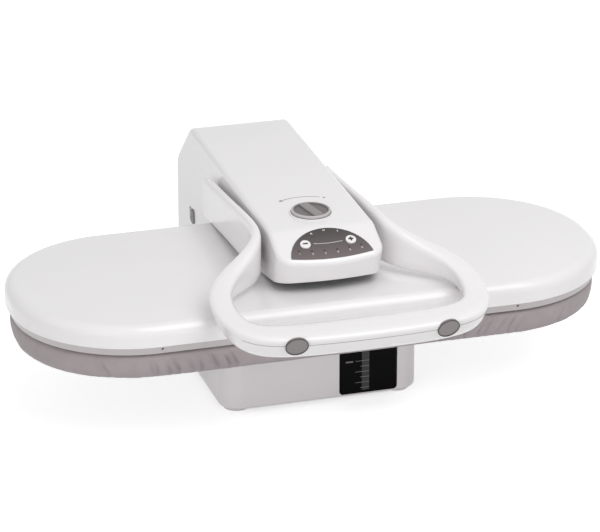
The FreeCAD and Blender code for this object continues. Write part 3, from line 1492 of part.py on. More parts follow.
def handle_bushes():
    bushes = []
    for side in SIDES:
        start, end = bush_span(side)
        ring = cylinder(s.bush_radius, start, end)
        bushes.append(ring.cut(cylinder(s.pin_radius + s.pin_play, start, end)))
    piece("handle_bushes", Part.makeCompound(bushes))


def handle_screws():
    """The screws under the caps."""
    seat = Z_AXIS * -(s.cap_thick + s.screw_cap)
    form = screw(seat, Z_AXIS * -s.hoop_screw)
    piece("handle_screws", Part.makeCompound([placed(form, cap_place(side)) for side in SIDES]))


def build():
    for make in (plate_cover, rim_trim, sole_plate, steam_chamber, heating_element, insulation_mat,
                 thermostat, board_support, board_tray, board_foam, board_cover, base_tub, base_deck,
                 tail_cover, rubber_feet, base_screws, water_pump, terminal_block, water_tank, tank_lid,
                 tank_plug, tank_seal, tank_valve_seat, tower_bracket, hinge_pin, hinge_clips,
                 tower_cover, cord_gland, head_channel, hinge_bushes, channel_spacers, head_screws,
                 head_housing, lock_slider, handle_pivot_pins, control_panel, indicator_lenses,
                 circuit_board, knob_bezel, filter_socket, descaler_knob, knob_seal, handle_shells,
                 handle_bushes, handle_screw_caps, handle_screws):
        make()
    push_button("minus_button", -1)
    push_button("plus_button", 1)
    doc.recompute()


def check():
    """Stop if an object failed or a sub-part has no sound solid."""
    for thing in doc.Objects:
        if "Invalid" in thing.State or "Error" in thing.State:
            raise RuntimeError("failed: " + thing.Label)
    for node in nodes:
        form = node.Shape
        if form.isNull() or not form.isValid() or not form.Solids:
            raise RuntimeError("no sound solid: " + node.Label)


def export():
    os.makedirs("parts", exist_ok=True)
    for node in nodes:
        node.Shape.exportStep("parts/%s.step" % node.Label)


build()
check()
export()
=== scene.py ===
"""Looks of a table-top steam ironing press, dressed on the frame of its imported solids.

The file is laid out as an add-on: sizes and colours are properties, each group of pieces has
an operator, and main() runs the operators in order.
"""
import json
import math
import random
from functools import partial

import bmesh
import bpy
from bpy.props import FloatProperty, FloatVectorProperty, IntProperty, PointerProperty
from mathutils import Matrix, Vector
from mathutils.bvhtree import BVHTree


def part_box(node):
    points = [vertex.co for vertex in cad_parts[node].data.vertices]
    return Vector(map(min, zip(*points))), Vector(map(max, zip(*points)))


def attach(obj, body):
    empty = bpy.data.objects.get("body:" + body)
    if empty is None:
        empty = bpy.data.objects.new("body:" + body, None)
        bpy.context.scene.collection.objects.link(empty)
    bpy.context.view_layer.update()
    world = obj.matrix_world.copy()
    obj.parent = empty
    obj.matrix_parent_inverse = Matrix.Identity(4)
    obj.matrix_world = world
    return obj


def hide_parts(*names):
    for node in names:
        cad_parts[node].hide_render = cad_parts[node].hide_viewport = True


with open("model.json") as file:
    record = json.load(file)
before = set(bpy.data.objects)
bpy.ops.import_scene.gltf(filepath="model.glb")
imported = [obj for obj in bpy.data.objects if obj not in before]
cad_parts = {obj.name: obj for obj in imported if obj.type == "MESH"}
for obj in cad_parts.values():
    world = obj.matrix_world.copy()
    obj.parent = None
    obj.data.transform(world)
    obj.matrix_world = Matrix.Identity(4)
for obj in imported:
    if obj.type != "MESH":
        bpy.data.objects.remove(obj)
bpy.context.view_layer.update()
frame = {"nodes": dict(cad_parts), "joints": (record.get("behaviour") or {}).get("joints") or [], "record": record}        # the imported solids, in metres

bl_info = {
    "name": "Steam ironing press",
    "version": (1, 0, 0),
    "blender": (4, 5, 0),
    "location": "3D View > Sidebar > Press",
    "description": "Finishes, printed marks, padded board and stage of a steam ironing press",
    "category": "Object",
}

MM = 0.001
WHITE = (1.0, 1.0, 1.0, 1.0)
WAVE_STEP = math.pi / 10  # scale of a wave texture that gives one band a unit of length
MIX_A, MIX_B, MIXED = 6, 7, 2  # the colour sockets of a Mix node, and its colour output
NOISE_LOW, NOISE_HIGH = 0.3, 0.7  # most of a noise texture lies between these
FACES_FRONT = -0.5  # a face looks to the front if its normal's Y is under this
COVER_LOW, COVER_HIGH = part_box("board_cover")
TANK_LOW, TANK_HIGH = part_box("water_tank")
TOP_GAP = 0.1 * MM  # the cloth's top under the top of its solid
CLOTH_TOP = COVER_HIGH.z - TOP_GAP
CLOTH_DROP = CLOTH_TOP - COVER_LOW.z


def linear(hex_code):
    """An sRGB hex colour as linear red, green and blue."""
    parts = [int(hex_code[i:i + 2], 16) / 255 for i in (0, 2, 4)]
    return [p / 12.92 if p <= 0.04045 else ((p + 0.055) / 1.055) ** 2.4 for p in parts]


def tint(name, hex_code, description):
    """A colour property with its default given in sRGB."""
    return FloatVectorProperty(name=name, description=description, subtype="COLOR", size=3,
                               min=0.0, max=1.0, default=linear(hex_code))


def number(name, default, description, **more):
    """A plain number as a property."""
    return FloatProperty(name=name, description=description, default=default, **more)


def length(name, millimetres, description):
    """A length property with its default given in millimetres."""
    return number(name, millimetres * MM, description, unit="LENGTH", precision=5)


def count(name, default, description):
    """A whole number, of one or more, as a property."""
    return IntProperty(name=name, description=description, default=default, min=1)


def lengths(name, millimetres, description):
    """A row of lengths, with their defaults given in millimetres."""
    return FloatVectorProperty(name=name, description=description, size=len(millimetres),
                               default=[w * MM for w in millimetres], unit="LENGTH")


class PressColours(bpy.types.PropertyGroup):
    """Colours of the press's materials."""
    shell: tint("White shell", "EDEBEC", "Moulded shells of head, plate and handle")
    base: tint("Base", "ECE7E8", "Moulded base and its feet")
    rim: tint("Rim", "C4BEBF", "Trim under the plate's edge")
    grey: tint("Grey plastic", "858080", "Twist cap, screw caps and travel lock")
    # Painted shade: the dish's darker floor stands in for shade in the twist cap's recess.
    dish: tint("Dish", "726D6E", "Floor of the twist cap's dish")
    knob_rim_highlight: tint("Cap rim", "BFBBBB", "Rim of the twist cap")
    # Painted highlight: the paler rim stands in for light caught along the twist cap's rim.
    ring: tint("Ring", "6E696A", "Dark inner edge of the ring round the twist cap")
    # Painted shade: the ring's dark inner edge stands in for the shadow in the gap round the twist cap.
    seam: tint("Seam", "7A7575", "Line between the handle's shells")
    gap: tint("Gap", "4A4646", "Gap round a screw cap")
    panel: tint("Panel", "423E3D", "Printed half-moon panel, at its top")
    # Painted reflection: the warmer, paler foot of the panel stands in for a reflection on the film.
    panel_foot_reflection: tint("Panel foot", "766C6D", "Printed half-moon panel, at its foot")
    ink: tint("White ink", "E9E7E7", "Marks on the panel")
    grey_ink: tint("Grey ink", "979393", "Arrow over the twist cap")
    dark_ink: tint("Dark ink", "1C1A1A", "Signs on the buttons")
    lens: tint("Lens", "3B2E2C", "Indicator lenses, unlit")
    tank: tint("Tank", "050506", "Smoked tank")
    window: tint("Window", "1D1B1C", "Frosted strip beside the tank's marks")
    scale_ink: tint("Scale ink", "77736F", "Marks on the tank")
    cloth: tint("Cloth", "A89FA1", "Cotton of the board's cover")
    black: tint("Black plastic", "1B1B1C", "Inner mouldings")
    rubber: tint("Rubber", "232323", "Seals and cord inlet")
    steel: tint("Steel", "B9BABD", "Zinc-plated sheet and bright rod")
    aluminium: tint("Aluminium", "C9CACC", "Cast sole plate and steam chamber")
    bronze: tint("Bronze", "B08D57", "Sintered bushes")
    circuit: tint("Circuit board", "2F6B45", "Solder mask of the circuit board")
    mat: tint("Insulation", "DDD8CC", "Needled glass mat")


class PressSizes(bpy.types.PropertyGroup):
    """Sizes of what is added to the solids."""
    ink_depth: length("Ink depth", 0.08, "Thickness of a printed mark")
    ink_line: length("Ink line", 1.3, "Width of a printed line")
    # Painted highlight on the cap's rim: where it begins and over what length it comes in.
    rim_highlight_radius: length("Rim radius", 18.7, "Where the twist cap's paler rim begins")
    rim_highlight_fade: length("Rim fade", 0.6, "Over what length the rim turns pale")
    # Painted shade on the dish floor: where it begins and over what depth it darkens.
    dish_shade_depth: length("Dish depth", 1.2, "Where the darker floor of the twist cap's dish begins")
    dish_shade_fade: length("Dish fade", 0.9, "Over what depth the dish turns dark")
    # Painted shade on the ring's inner edge: where it ends and over what length it turns white.
    lip_shade_radius: length("Lip radius", 21.1, "Where the dark lip of the ring round the twist cap ends")
    lip_shade_fade: length("Lip fade", 0.2, "Over what length the ring turns white")
    arrow_radius: length("Arrow radius", 44, "Middle line of the arrow over the twist cap")
    arrow_head: length("Arrow head", 4.2, "Length of the arrow's head")
    arrow_dot: length("Arrow dot", 1.6, "Radius of the dot at the arrow's shut end")
    fine_line: length("Fine line", 0.5, "Width of a fine printed line")
    lens_apart: length("Lens spacing", 5, "Points of one lens lie nearer together than this")
    digit_drop: length("Figure drop", 4.0, "Figure below its lens")
    sign_lift: length("Sign lift", 4.2, "Plain sign above its lens")
    line_bow: length("Line bow", 100, "Radius of the line between the buttons, which sags a little")
    line_clear: length("Line clearance", 9, "Line's ends from the buttons' middles")
    seam_line: length("Seam", 0.5, "Width of the line between the handle's shells")
    bar_depth: length("Bar depth", 70, "The bar lies within this of the handle's foremost point")
    shell_touch: length("Shell touch", 0.25, "The handle's shells count as touching within this")
    gap_width: length("Gap", 1.0, "Width of the dark gap round a screw cap")
    cap_proud: length("Cap height", 0.6, "Screw cap's face above the middle of its gap")
    sign_length: length("Sign length", 5.4, "Length of a stroke of a button's sign")
    sign_line: length("Sign line", 1.9, "Width of a stroke of a button's sign")
    digit_height: length("Figure height", 2.6, "Height of a printed figure")
    scale_foot: length("Scale foot", 5.8, "Lowest mark above the tank's lower edge")
    scale_step: length("Scale step", 6.1, "Distance between the marks on the tank")
    full_line: length("Full mark", 1.6, "Width of the mark beside the top line")
    end_flat: length("End flat", 14, "Straight part of the board's ends")
    cloth_edge: length("Cloth edge", 6, "Round of the cover's top edge")
    cloth_rings: lengths("Cloth rings", (4, 7, 11, 18, 30), "Widths of the rings of cloth on the top")
    cloth_draw: length("Cloth draw", 9, "How fast the side band draws in towards the hem")
    hem_turn: length("Hem turn", 5, "Round of the band into the hem")
    cloth_hem: length("Cloth hem", 15, "Hem turned in under the tray")
    cloth_sheet: length("Cloth thickness", 1.1, "Thickness of the cotton")
    cloth_step: length("Cloth step", 4.2, "Distance between the points of cloth that are simulated")
    cloth_cuts: count("Cloth cuts", 3, "Finer cuts in each step, for the creases")
    cloth_swell: length("Cloth swell", 1.2, "How far the cloth may move while it settles")
    pleat_depth: length("Crease depth", 2.6, "Depth of the deepest crease")
    pleat_width: length("Crease width", 1.9, "Width of a crease")
    pleat_lean: length("Crease lean", -16, "How far along the edge a crease runs on its way up")
    pleat_places: lengths("Deep creases", (-50, -4, 1, 12, 25, 36, 45, 62, 75, 85),
                          "Deep creases from where an end begins")
    pleat_count: count("Slight creases", 46, "Slight creases on each half")
    cloth_frames: count("Cloth frames", 14, "Frames the cloth settles for")


class PressStage(bpy.types.PropertyGroup):
    """Camera, light and floor."""
    azimuth: number("Azimuth", math.radians(-17.01), "Camera to the left of the front", subtype="ANGLE")
    elevation: number("Elevation", math.radians(22.05), "Camera above the horizon", subtype="ANGLE")
    distance: number("Distance", 3.1352, "Camera to its target", unit="LENGTH")
    target: FloatVectorProperty(name="Target", description="Point in the middle of the picture",
                                default=(-0.00568, -0.040, 0.1318), subtype="XYZ", unit="LENGTH")
    lens: number("Lens", 180.0, "Focal length", unit="CAMERA")
    key: number("Key", 8.0, "Power of the soft box overhead", unit="POWER")
    fill: number("Fill", 10.0, "Power of the soft box in front", unit="POWER")
    back: number("Back", 6.0, "Power of the soft box behind", unit="POWER")
    sky: number("Sky", 0.55, "Strength of the light from all round")
    floor_radius: number("Floor radius", 6.0, "Radius of the floor", unit="LENGTH")
    floor_paint: number("Floor paint", 0.8, "Share of the light that the floor gives back")
    floor_glow: number("Floor glow", 0.58, "What lifts the floor to white where it is seen")


def add_node(tree, kind, values=None, links=None):
    """Adds a shader node, sets its settings or sockets and joins its inputs to other nodes' outputs.
    A number in place of a name picks a socket by its place."""
    node = tree.nodes.new("ShaderNode" + kind)
    for name, value in (values or {}).items():
        if isinstance(name, str) and hasattr(node, name):
            setattr(node, name, value)
        else:
            node.inputs[name].default_value = value
    for name, source in (links or {}).items():
        tree.links.new(source, node.inputs[name])
    return node


def per(millimetres):
    """Pattern scale, in cycles a metre, for a feature of that size."""
    return 1.0 / (millimetres * MM)


def tone(name, share=1.0):
    """A share of one of the press's colours, with the alpha that a socket asks for."""
    return (*[min(1.0, c * share) for c in getattr(bpy.context.scene.press_colours, name)], 1.0)


def surface(name, colour, **sockets):
    """A new material of a named colour, its node tree and its surface shader with plain sockets set."""
    material = bpy.data.materials.new(name)
    material.use_nodes = True
    shader = material.node_tree.nodes["Principled BSDF"]
    shader.inputs["Base Color"].default_value = tone(colour)
    for socket, value in sockets.items():
        shader.inputs[socket.replace("_", " ")].default_value = value
    return material, material.node_tree, shader


def mottle(tree, shader, colour, spread, size, gloss):
    """Colour and gloss drift over the surface, as flow and handling leave them on a real piece."""
    place = add_node(tree, "TexCoord")
    drift = add_node(tree, "TexNoise", {"Scale": per(size), "Detail": 3.0}, {"Vector": place.outputs["Object"]})
    tones = {MIX_A: tone(colour, 1 - spread), MIX_B: tone(colour, 1 + spread)}
    blend = add_node(tree, "Mix", {"data_type": "RGBA", **tones}, {"Factor": drift.outputs["Fac"]})
    tree.links.new(blend.outputs[MIXED], shader.inputs["Base Color"])
    rough = add_node(tree, "MapRange",
                     {"From Min": NOISE_LOW, "From Max": NOISE_HIGH, "To Min": gloss[0], "To Max": gloss[1]},
                     {"Value": drift.outputs["Fac"]})
    tree.links.new(rough.outputs["Result"], shader.inputs["Roughness"])
    return place


def grain(tree, shader, vector, size, depth):
    """Fine relief of that size and depth in millimetres."""
    pits = add_node(tree, "TexNoise", {"Scale": per(size), "Detail": 2.0}, {"Vector": vector})
    bump = add_node(tree, "Bump", {"Strength": 1.0, "Distance": depth * MM}, {"Height": pits.outputs["Fac"]})
    tree.links.new(bump.outputs["Normal"], shader.inputs["Normal"])


def fade(tree, shader, value, start, end, first, second):
    """Base colour that goes from one of the press's colours to another as a value goes from start to end."""
    share = add_node(tree, "MapRange", {"From Min": start, "From Max": end}, {"Value": value})
    blend = add_node(tree, "Mix", {"data_type": "RGBA", MIX_A: tone(first), MIX_B: tone(second)},
                     {"Factor": share.outputs["Result"]})
    tree.links.new(blend.outputs[MIXED], shader.inputs["Base Color"])
    return share, blend


def moulded(name, colour, drift, gloss, relief=None, **sockets):
    """A piece of one colour: the share and length of its drift, its range of gloss and its fine relief."""
    material, tree, shader = surface(name, colour, **sockets)
    place = mottle(tree, shader, colour, *drift, gloss)
    if relief:
        grain(tree, shader, place.outputs["Object"], *relief)
    return material


def printed_ink(name, colour):
    """Pad-printed ink: flat colour with a little tooth."""
    return moulded(name, colour, (0.04, 3), (0.4, 0.55), (0.5, 0.005), IOR=1.5)


def brushed(name, colour, gloss, line, stretch):
    """A metal with fine lines along X: their width in millimetres, and how many times longer they are."""
    material, tree, shader = surface(name, colour, Metallic=1.0)
    place = mottle(tree, shader, colour, 0.04, 30, gloss)
    along = add_node(tree, "Mapping", {"Scale": (1.0 / stretch, 1.0, 1.0)}, {"Vector": place.outputs["Object"]})
    grain(tree, shader, along.outputs["Vector"], line, 0.01)
    return material


def round_the_cap(tree):
    """Object coordinates, then depth under the twist cap's top and distance from its axis."""
    turn = joint("knob_turn")
    axis, foot = Vector(turn["axis"]), Vector(turn["pos_m"])
    top = max(axis.dot(v.co - foot) for v in frame["nodes"]["descaler_knob"].data.vertices)
    place = add_node(tree, "TexCoord")
    own = add_node(tree, "Mapping",
                   {"vector_type": "TEXTURE", "Location": foot + axis * top,
                    "Rotation": axis.to_track_quat("Z", "Y").to_euler()}, {"Vector": place.outputs["Object"]})
    parts = add_node(tree, "SeparateXYZ", {}, {"Vector": own.outputs["Vector"]})
    flat = add_node(tree, "VectorMath", {"operation": "MULTIPLY", 1: (1.0, 1.0, 0.0)},
                    {"Vector": own.outputs["Vector"]})
    far = add_node(tree, "VectorMath", {"operation": "LENGTH"}, {"Vector": flat.outputs["Vector"]})
    return place, parts, far


def knob_moulding():
    """Twist cap of the same grey plastic: a painted highlight along its rim, and a dish with a rougher eroded
    floor that is painted darker as shade in the recess.
    """
    sizes = bpy.context.scene.press_sizes
    material, tree, shader = surface("grey_knob_plastic", "grey", IOR=1.5)
    place, parts, far = round_the_cap(tree)
    # Painted highlight: the cap turns paler beyond this radius, as light caught on its rim.
    rim = add_node(tree, "MapRange",
                   {"From Min": sizes.rim_highlight_radius, "From Max": sizes.rim_highlight_radius + sizes.rim_highlight_fade},
                   {"Value": far.outputs["Value"]})
    # Painted shade: the dish floor darkens with depth, standing in for shade in the recess; its roughness rises
    # with it.
    deep, dish = fade(tree, shader, parts.outputs["Z"], -sizes.dish_shade_depth, -sizes.dish_shade_depth - sizes.dish_shade_fade,
                      "grey", "dish")
    whole = add_node(tree, "Mix", {"data_type": "RGBA", MIX_B: tone("knob_rim_highlight")},
                     {"Factor": rim.outputs["Result"], MIX_A: dish.outputs[MIXED]})
    tree.links.new(whole.outputs[MIXED], shader.inputs["Base Color"])
    rough = add_node(tree, "MapRange", {"To Min": 0.36, "To Max": 0.6}, {"Value": deep.outputs["Result"]})
    tree.links.new(rough.outputs["Result"], shader.inputs["Roughness"])
    grain(tree, shader, place.outputs["Object"], 0.9, 0.02)
    return material


def ring_moulding():
    """Ring let into the hood round the twist cap: white, with painted shade on its inner edge against the cap,
    standing in for the gap's shadow.
    """
    sizes = bpy.context.scene.press_sizes
    material, tree, shader = surface("two_shot_ring_plastic", "ring", IOR=1.5, Roughness=0.3)
    place, _, far = round_the_cap(tree)
    # Painted shade: dark inside this radius as the gap's shadow, white beyond.
    fade(tree, shader, far.outputs["Value"], sizes.lip_shade_radius, sizes.lip_shade_radius + sizes.lip_shade_fade, "ring", "shell")
    grain(tree, shader, place.outputs["Object"], 1, 0.015)
    return material


def panel_film():
    """Polyester film printed on its back, with a satin coat: dark grey at its top that fades to a warmer, paler
    one at its foot as a painted reflection.
    """
    low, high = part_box("control_panel")
    material, tree, shader = surface("printed_panel_film", "panel", IOR=1.5, Roughness=0.34,
                                     Specular_IOR_Level=0.3)
    place = add_node(tree, "TexCoord")
    parts = add_node(tree, "SeparateXYZ", {}, {"Vector": place.outputs["Object"]})
    # Painted reflection: dark at the top, paler and warmer towards the foot.
    fade(tree, shader, parts.outputs["Z"], low.z, high.z, "panel_foot_reflection", "panel")
    grain(tree, shader, place.outputs["Object"], 0.8, 0.008)
    return material


def woven_cotton():
    """Plain-woven cotton with a dull pinkish grey dye: matt, with threads that show only close up,
    slubs along them and a soft sheen where the cloth turns away."""
    thread, slubs, spread = 0.9, 14, 0.12  # width of a thread and length of a slub in mm, spread of the dye
    material, tree, shader = surface("woven_cotton", "cloth", Roughness=0.92, Sheen_Weight=0.25,
                                     Sheen_Roughness=0.5, Specular_IOR_Level=0.2)
    lay = add_node(tree, "UVMap", {"uv_map": "weave"})
    warp, weft = (add_node(tree, "TexWave",
                           {"wave_type": "BANDS", "bands_direction": way, "Scale": per(thread) * WAVE_STEP,
                            "Distortion": 0.6, "Detail": 1.0, "Detail Scale": 2.0}, {"Vector": lay.outputs["UV"]})
                  for way in ("X", "Y"))
    cross = add_node(tree, "Math", {"operation": "MAXIMUM"}, {0: warp.outputs["Fac"], 1: weft.outputs["Fac"]})
    place = add_node(tree, "TexCoord")
    slub = add_node(tree, "TexNoise", {"Scale": per(slubs), "Detail": 4.0}, {"Vector": place.outputs["Object"]})
    dyes = {MIX_A: tone("cloth", 1 - spread), MIX_B: tone("cloth", 1 + spread)}
    dye = add_node(tree, "Mix", {"data_type": "RGBA", **dyes}, {"Factor": slub.outputs["Fac"]})
    shade = add_node(tree, "MapRange", {"To Min": 0.95, "To Max": 1.02}, {"Value": cross.outputs["Value"]})
    woven = add_node(tree, "Mix", {"data_type": "RGBA", "blend_type": "MULTIPLY", "Factor": 1.0},
                     {MIX_A: dye.outputs[MIXED], MIX_B: shade.outputs["Result"]})
    tree.links.new(woven.outputs[MIXED], shader.inputs["Base Color"])
    bump = add_node(tree, "Bump", {"Strength": 0.5, "Distance": 0.05 * MM}, {"Height": cross.outputs["Value"]})
    tree.links.new(bump.outputs["Normal"], shader.inputs["Normal"])
    return material


OWN_FINISHES = {"descaler_knob": knob_moulding}
FINISHES = {
    # ABS from a polished tool: clean highlights with a faint orange peel.
    "white_abs": partial(moulded, "gloss_white_abs", "shell", (0.012, 70), (0.17, 0.26), (5, 0.006), IOR=1.54,
                         Coat_Weight=0.15, Coat_Roughness=0.08),
    # ABS from a spark-eroded tool: the same white, broken up by a fine grain that kills the glare.
    "white_base": partial(moulded, "satin_white_abs", "base", (0.015, 50), (0.36, 0.46), (1.2, 0.02), IOR=1.54),
    # Trim moulding, a shade greyer and duller than the cover over it.
    "white_rim": partial(moulded, "satin_rim_plastic", "rim", (0.015, 40), (0.4, 0.5), (1.2, 0.015), IOR=1.5),
    # Through-coloured grey plastic with a fine leather-like tool grain.
    "grey_plastic": partial(moulded, "grey_moulded_plastic", "grey", (0.04, 12), (0.38, 0.5), (0.9, 0.03),
                            IOR=1.5),
    "ring_plastic": ring_moulding,
    "panel_film": panel_film,
    # White push buttons of the shell's plastic, with a finer surface.
    "button_white": partial(moulded, "gloss_button_plastic", "shell", (0.01, 9), (0.2, 0.28), (2, 0.004),
                            IOR=1.5),
    # Dark red-brown clear plastic over an unlit lamp: nearly black with a small highlight.
    "lens": partial(moulded, "indicator_lens", "lens", (0.1, 2), (0.1, 0.16), IOR=1.49, Coat_Weight=0.5),
    # Smoked clear plastic over dark water: almost black, with a crisp but weak reflection.
    "smoked_plastic": partial(moulded, "smoked_clear_plastic", "tank", (0.2, 25), (0.08, 0.14), (8, 0.004),
                              IOR=1.5, Specular_IOR_Level=0.05),
    # Black nylon mouldings inside the press, dull from their glass filling.
    "black_plastic": partial(moulded, "black_nylon", "black", (0.15, 8), (0.45, 0.6), (0.8, 0.03), IOR=1.53),
    # Green solder mask over glass laminate, with a satin gloss.
    "circuit": partial(moulded, "green_solder_mask", "circuit", (0.1, 3), (0.28, 0.4), (0.6, 0.01), IOR=1.5),
    # Cast sole, ground and polished along its length: broad soft reflections. The grinding lines are drawn
    # coarser than they are, because real ones are too fine to show.
    "cast_aluminium": partial(brushed, "ground_cast_aluminium", "aluminium", (0.3, 0.38), 2, 60),
    # Zinc-plated pressed sheet: a little cloudy.
    "steel_sheet": partial(brushed, "zinc_plated_sheet", "steel", (0.3, 0.46), 2.5, 4),
    # Drawn bright steel of pins, screws, clips and the element's sheath: narrow highlights.
    "steel_rod": partial(brushed, "bright_drawn_steel", "steel", (0.18, 0.26), 0.6, 20),
    # Oil-soaked sintered bronze of the bushes: warm and slightly dull.
    "bearing_bronze": partial(brushed, "sintered_bronze", "bronze", (0.35, 0.48), 0.7, 1),
    # Moulded rubber: soft broad highlight and a slightly dusty bloom.
    "black_rubber": partial(moulded, "moulded_rubber", "rubber", (0.2, 6), (0.6, 0.78), (0.7, 0.03), IOR=1.52),
    # Pale rubber of the feet, matched to the base and duller than it.
    "pale_rubber": partial(moulded, "pale_foot_rubber", "base", (0.03, 8), (0.55, 0.7), (0.9, 0.03), IOR=1.52),
    "board_cloth": woven_cotton,
    "board_foam": woven_cotton,
    # Needled glass fibre: off-white, matt and tangled.
    "insulation": partial(moulded, "needled_glass_mat", "mat", (0.08, 6), (0.85, 0.95), (1.5, 0.3),
                          Sheen_Weight=0.2),
}


def joint(name):
    """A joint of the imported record."""
    return next(j for j in frame["joints"] if j["name"] == name)


def on_face(point, normal):
    """A place on a face that runs across the press: X across, Y up the face, Z out of it."""
    out = Vector(normal).normalized()
    across = Vector((1.0, 0.0, 0.0))
    turn = Matrix((across, out.cross(across), out)).transposed()
    return Matrix.Translation(point) @ turn.to_4x4()


def on_top_of(node, normal):
    """The middle of a node's outer face, seen along that face's normal."""
    low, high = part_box(node)
    out = Vector(normal).normalized()
    middle = (low + high) / 2
    height = max(v.co.dot(out) for v in frame["nodes"][node].data.vertices)
    return on_face(middle + out * (height - middle.dot(out)), out)


def add_object(name, data):
    """Puts an object with that data in the scene."""
    made = bpy.data.objects.new(name, data)
    bpy.context.scene.collection.objects.link(made)
    return made


def add_shape(name, bm):
    """Puts an object with a bmesh's shape in the scene."""
    mesh = bpy.data.meshes.new(name)
    bm.to_mesh(mesh)
    bm.free()
    return add_object(name, mesh)


def add_piece(name, bm, material, body, place=None):
    """Makes a finished piece of a bmesh, laid in its place: it rides on a body and has the finish it is given."""
    if place:
        bmesh.ops.transform(bm, verts=bm.verts, matrix=place)
    bmesh.ops.remove_doubles(bm, verts=bm.verts, dist=1e-7)
    bmesh.ops.recalc_face_normals(bm, faces=bm.faces)
    made = add_shape(name, bm)
    made.data.materials.append(material)
    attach(made, body)
    return made


def merged_copy(node):
    """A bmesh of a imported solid, with its loose triangles joined."""
    bm = bmesh.new()
    bm.from_mesh(frame["nodes"][node].data)
    bmesh.ops.remove_doubles(bm, verts=bm.verts, dist=1e-6)
    return bm


FIGURE_FONT = 1.4  # size of the font over the height of a figure
DOT_SIDES, ARC_STEPS, RING_STEPS = 24, 24, 48


def ink_bar(bm, start, end, width, depth):
    """A straight printed stroke from start to end, in the face's own X and Y."""
    a, b = Vector((*start, 0.0)), Vector((*end, 0.0))
    run = b - a
    size = Matrix.Diagonal((run.length, width, depth, 1.0))
    turn = Matrix.Rotation(math.atan2(run.y, run.x), 4, "Z")
    bmesh.ops.create_cube(bm, size=1.0, matrix=Matrix.Translation((a + b) / 2) @ turn @ size)


def ink_disc(bm, centre, radius, depth):
    """A printed dot."""
    bmesh.ops.create_cone(bm, cap_ends=True, segments=DOT_SIDES, radius1=radius, radius2=radius, depth=depth,
                          matrix=Matrix.Translation((*centre, 0.0)))


def ink_arc(bm, centre, radius, start, end, width, depth):
    """A printed line along a circle, from one angle to another or all the way round."""
    whole = math.isclose(end - start, 2 * math.pi)
    made = bmesh.ops.create_cube(bm, size=1.0, matrix=Matrix.Diagonal((width, 1e-6, depth, 1.0)))
    edge = [v for v in made["verts"] if v.co.y > 0]
    bmesh.ops.delete(bm, geom=[v for v in made["verts"] if v.co.y <= 0], context="VERTS")
    bmesh.ops.translate(bm, verts=edge, vec=(radius, 0.0, 0.0))
    bmesh.ops.rotate(bm, verts=edge, matrix=Matrix.Rotation(start, 3, "Z"))
    bmesh.ops.translate(bm, verts=edge, vec=(*centre, 0.0))
    loop = list({e for v in edge for e in v.link_edges})
    turned = bmesh.ops.spin(bm, geom=loop, cent=(*centre, 0.0), axis=(0.0, 0.0, 1.0), angle=end - start,
                            steps=RING_STEPS if whole else ARC_STEPS, use_merge=whole)
    if not whole:
        last = [g for g in turned["geom_last"] if isinstance(g, bmesh.types.BMVert)]
        for ring in (edge, last):
            bmesh.ops.contextual_create(bm, geom=ring)


def ink_text(bm, words, centre, height, depth):
    """Printed figures, centred on a point of the face."""
    curve = bpy.data.curves.new("figures", "FONT")
    curve.body = words
    curve.size = height * FIGURE_FONT
    curve.extrude = depth / 2
    curve.align_x = "CENTER"
    curve.align_y = "CENTER"
    curve.resolution_u = 3
    holder = bpy.data.objects.new("figures", curve)
    mesh = bpy.data.meshes.new_from_object(holder)
    mesh.transform(Matrix.Translation((*centre, 0.0)))
    bm.from_mesh(mesh)
    bpy.data.objects.remove(holder)
    bpy.data.meshes.remove(mesh)


class PRESS_OT_finish_solids(bpy.types.Operator):
    """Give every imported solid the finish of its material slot"""
    bl_idname = "press.finish_solids"
    bl_label = "Finish solids"

    def execute(self, context):
        made = {}
        for row in frame["record"]["subparts"]:
            finish = OWN_FINISHES.get(row["node"], FINISHES[row["material_slot"]])
            if finish not in made:
                made[finish] = finish()
            solid = frame["nodes"][row["node"]].data
            solid.materials.clear()
            solid.materials.append(made[finish])
        return {"FINISHED"}


EDGE_TURNS = (0.5, 1.0, math.pi / 2)  # steps round the cover's top edge, as angles
EDGE_FLAT = 0.8  # height of that round over its width
BAND_STEPS = (0.3, 0.42, 0.54, 0.66, 0.78)  # steps down the side band, as shares of its drop
BAND_DRAWS = 0.4  # share of the drop from which the band draws in
HEM_TURNS = (0.5, 1.0, 1.45)  # steps round into the hem, as angles
HEM_RISE, HEM_DRAWN = 0.18, 0.15  # height of that round over the drop, and the draw above it
HEM_STEPS = (0.55, 0.75, 1.0)  # steps across the hem
RUNS_ROUND = 0.5  # an edge that climbs or leads out less than this runs round
LIES_LEVEL = 0.8  # a face whose normal rises more than this lies level
CREASE_DRAW = 11  # seed of the random draws
CREASE_TOP, CREASE_FADE = 0.15, 0.4  # shares of the drop: nothing creases above, a crease fades over
CREASE_FAR = 4.0  # a crease ends this many of its widths from its middle
RIDGE, RIDGE_AT = 0.6, 1.7  # height of the ridge beside a crease, and its place in widths
DEEP = ((0.75, 1.0), (0.6, 1.0), (0.7, 1.0))  # ranges of a deep crease's depth, lean and reach
SLIGHT = ((0.03, 0.35), (-0.4, 0.9), (0.25, 0.6))  # the same of a slight one
EVEN_FROM, EVEN_OVER, EVENED = 0.82, 0.16, 0.8  # where down the drop creases even out, and how far


def clamped(value):
    """A value kept between 0 and 1."""
    return max(0.0, min(1.0, value))


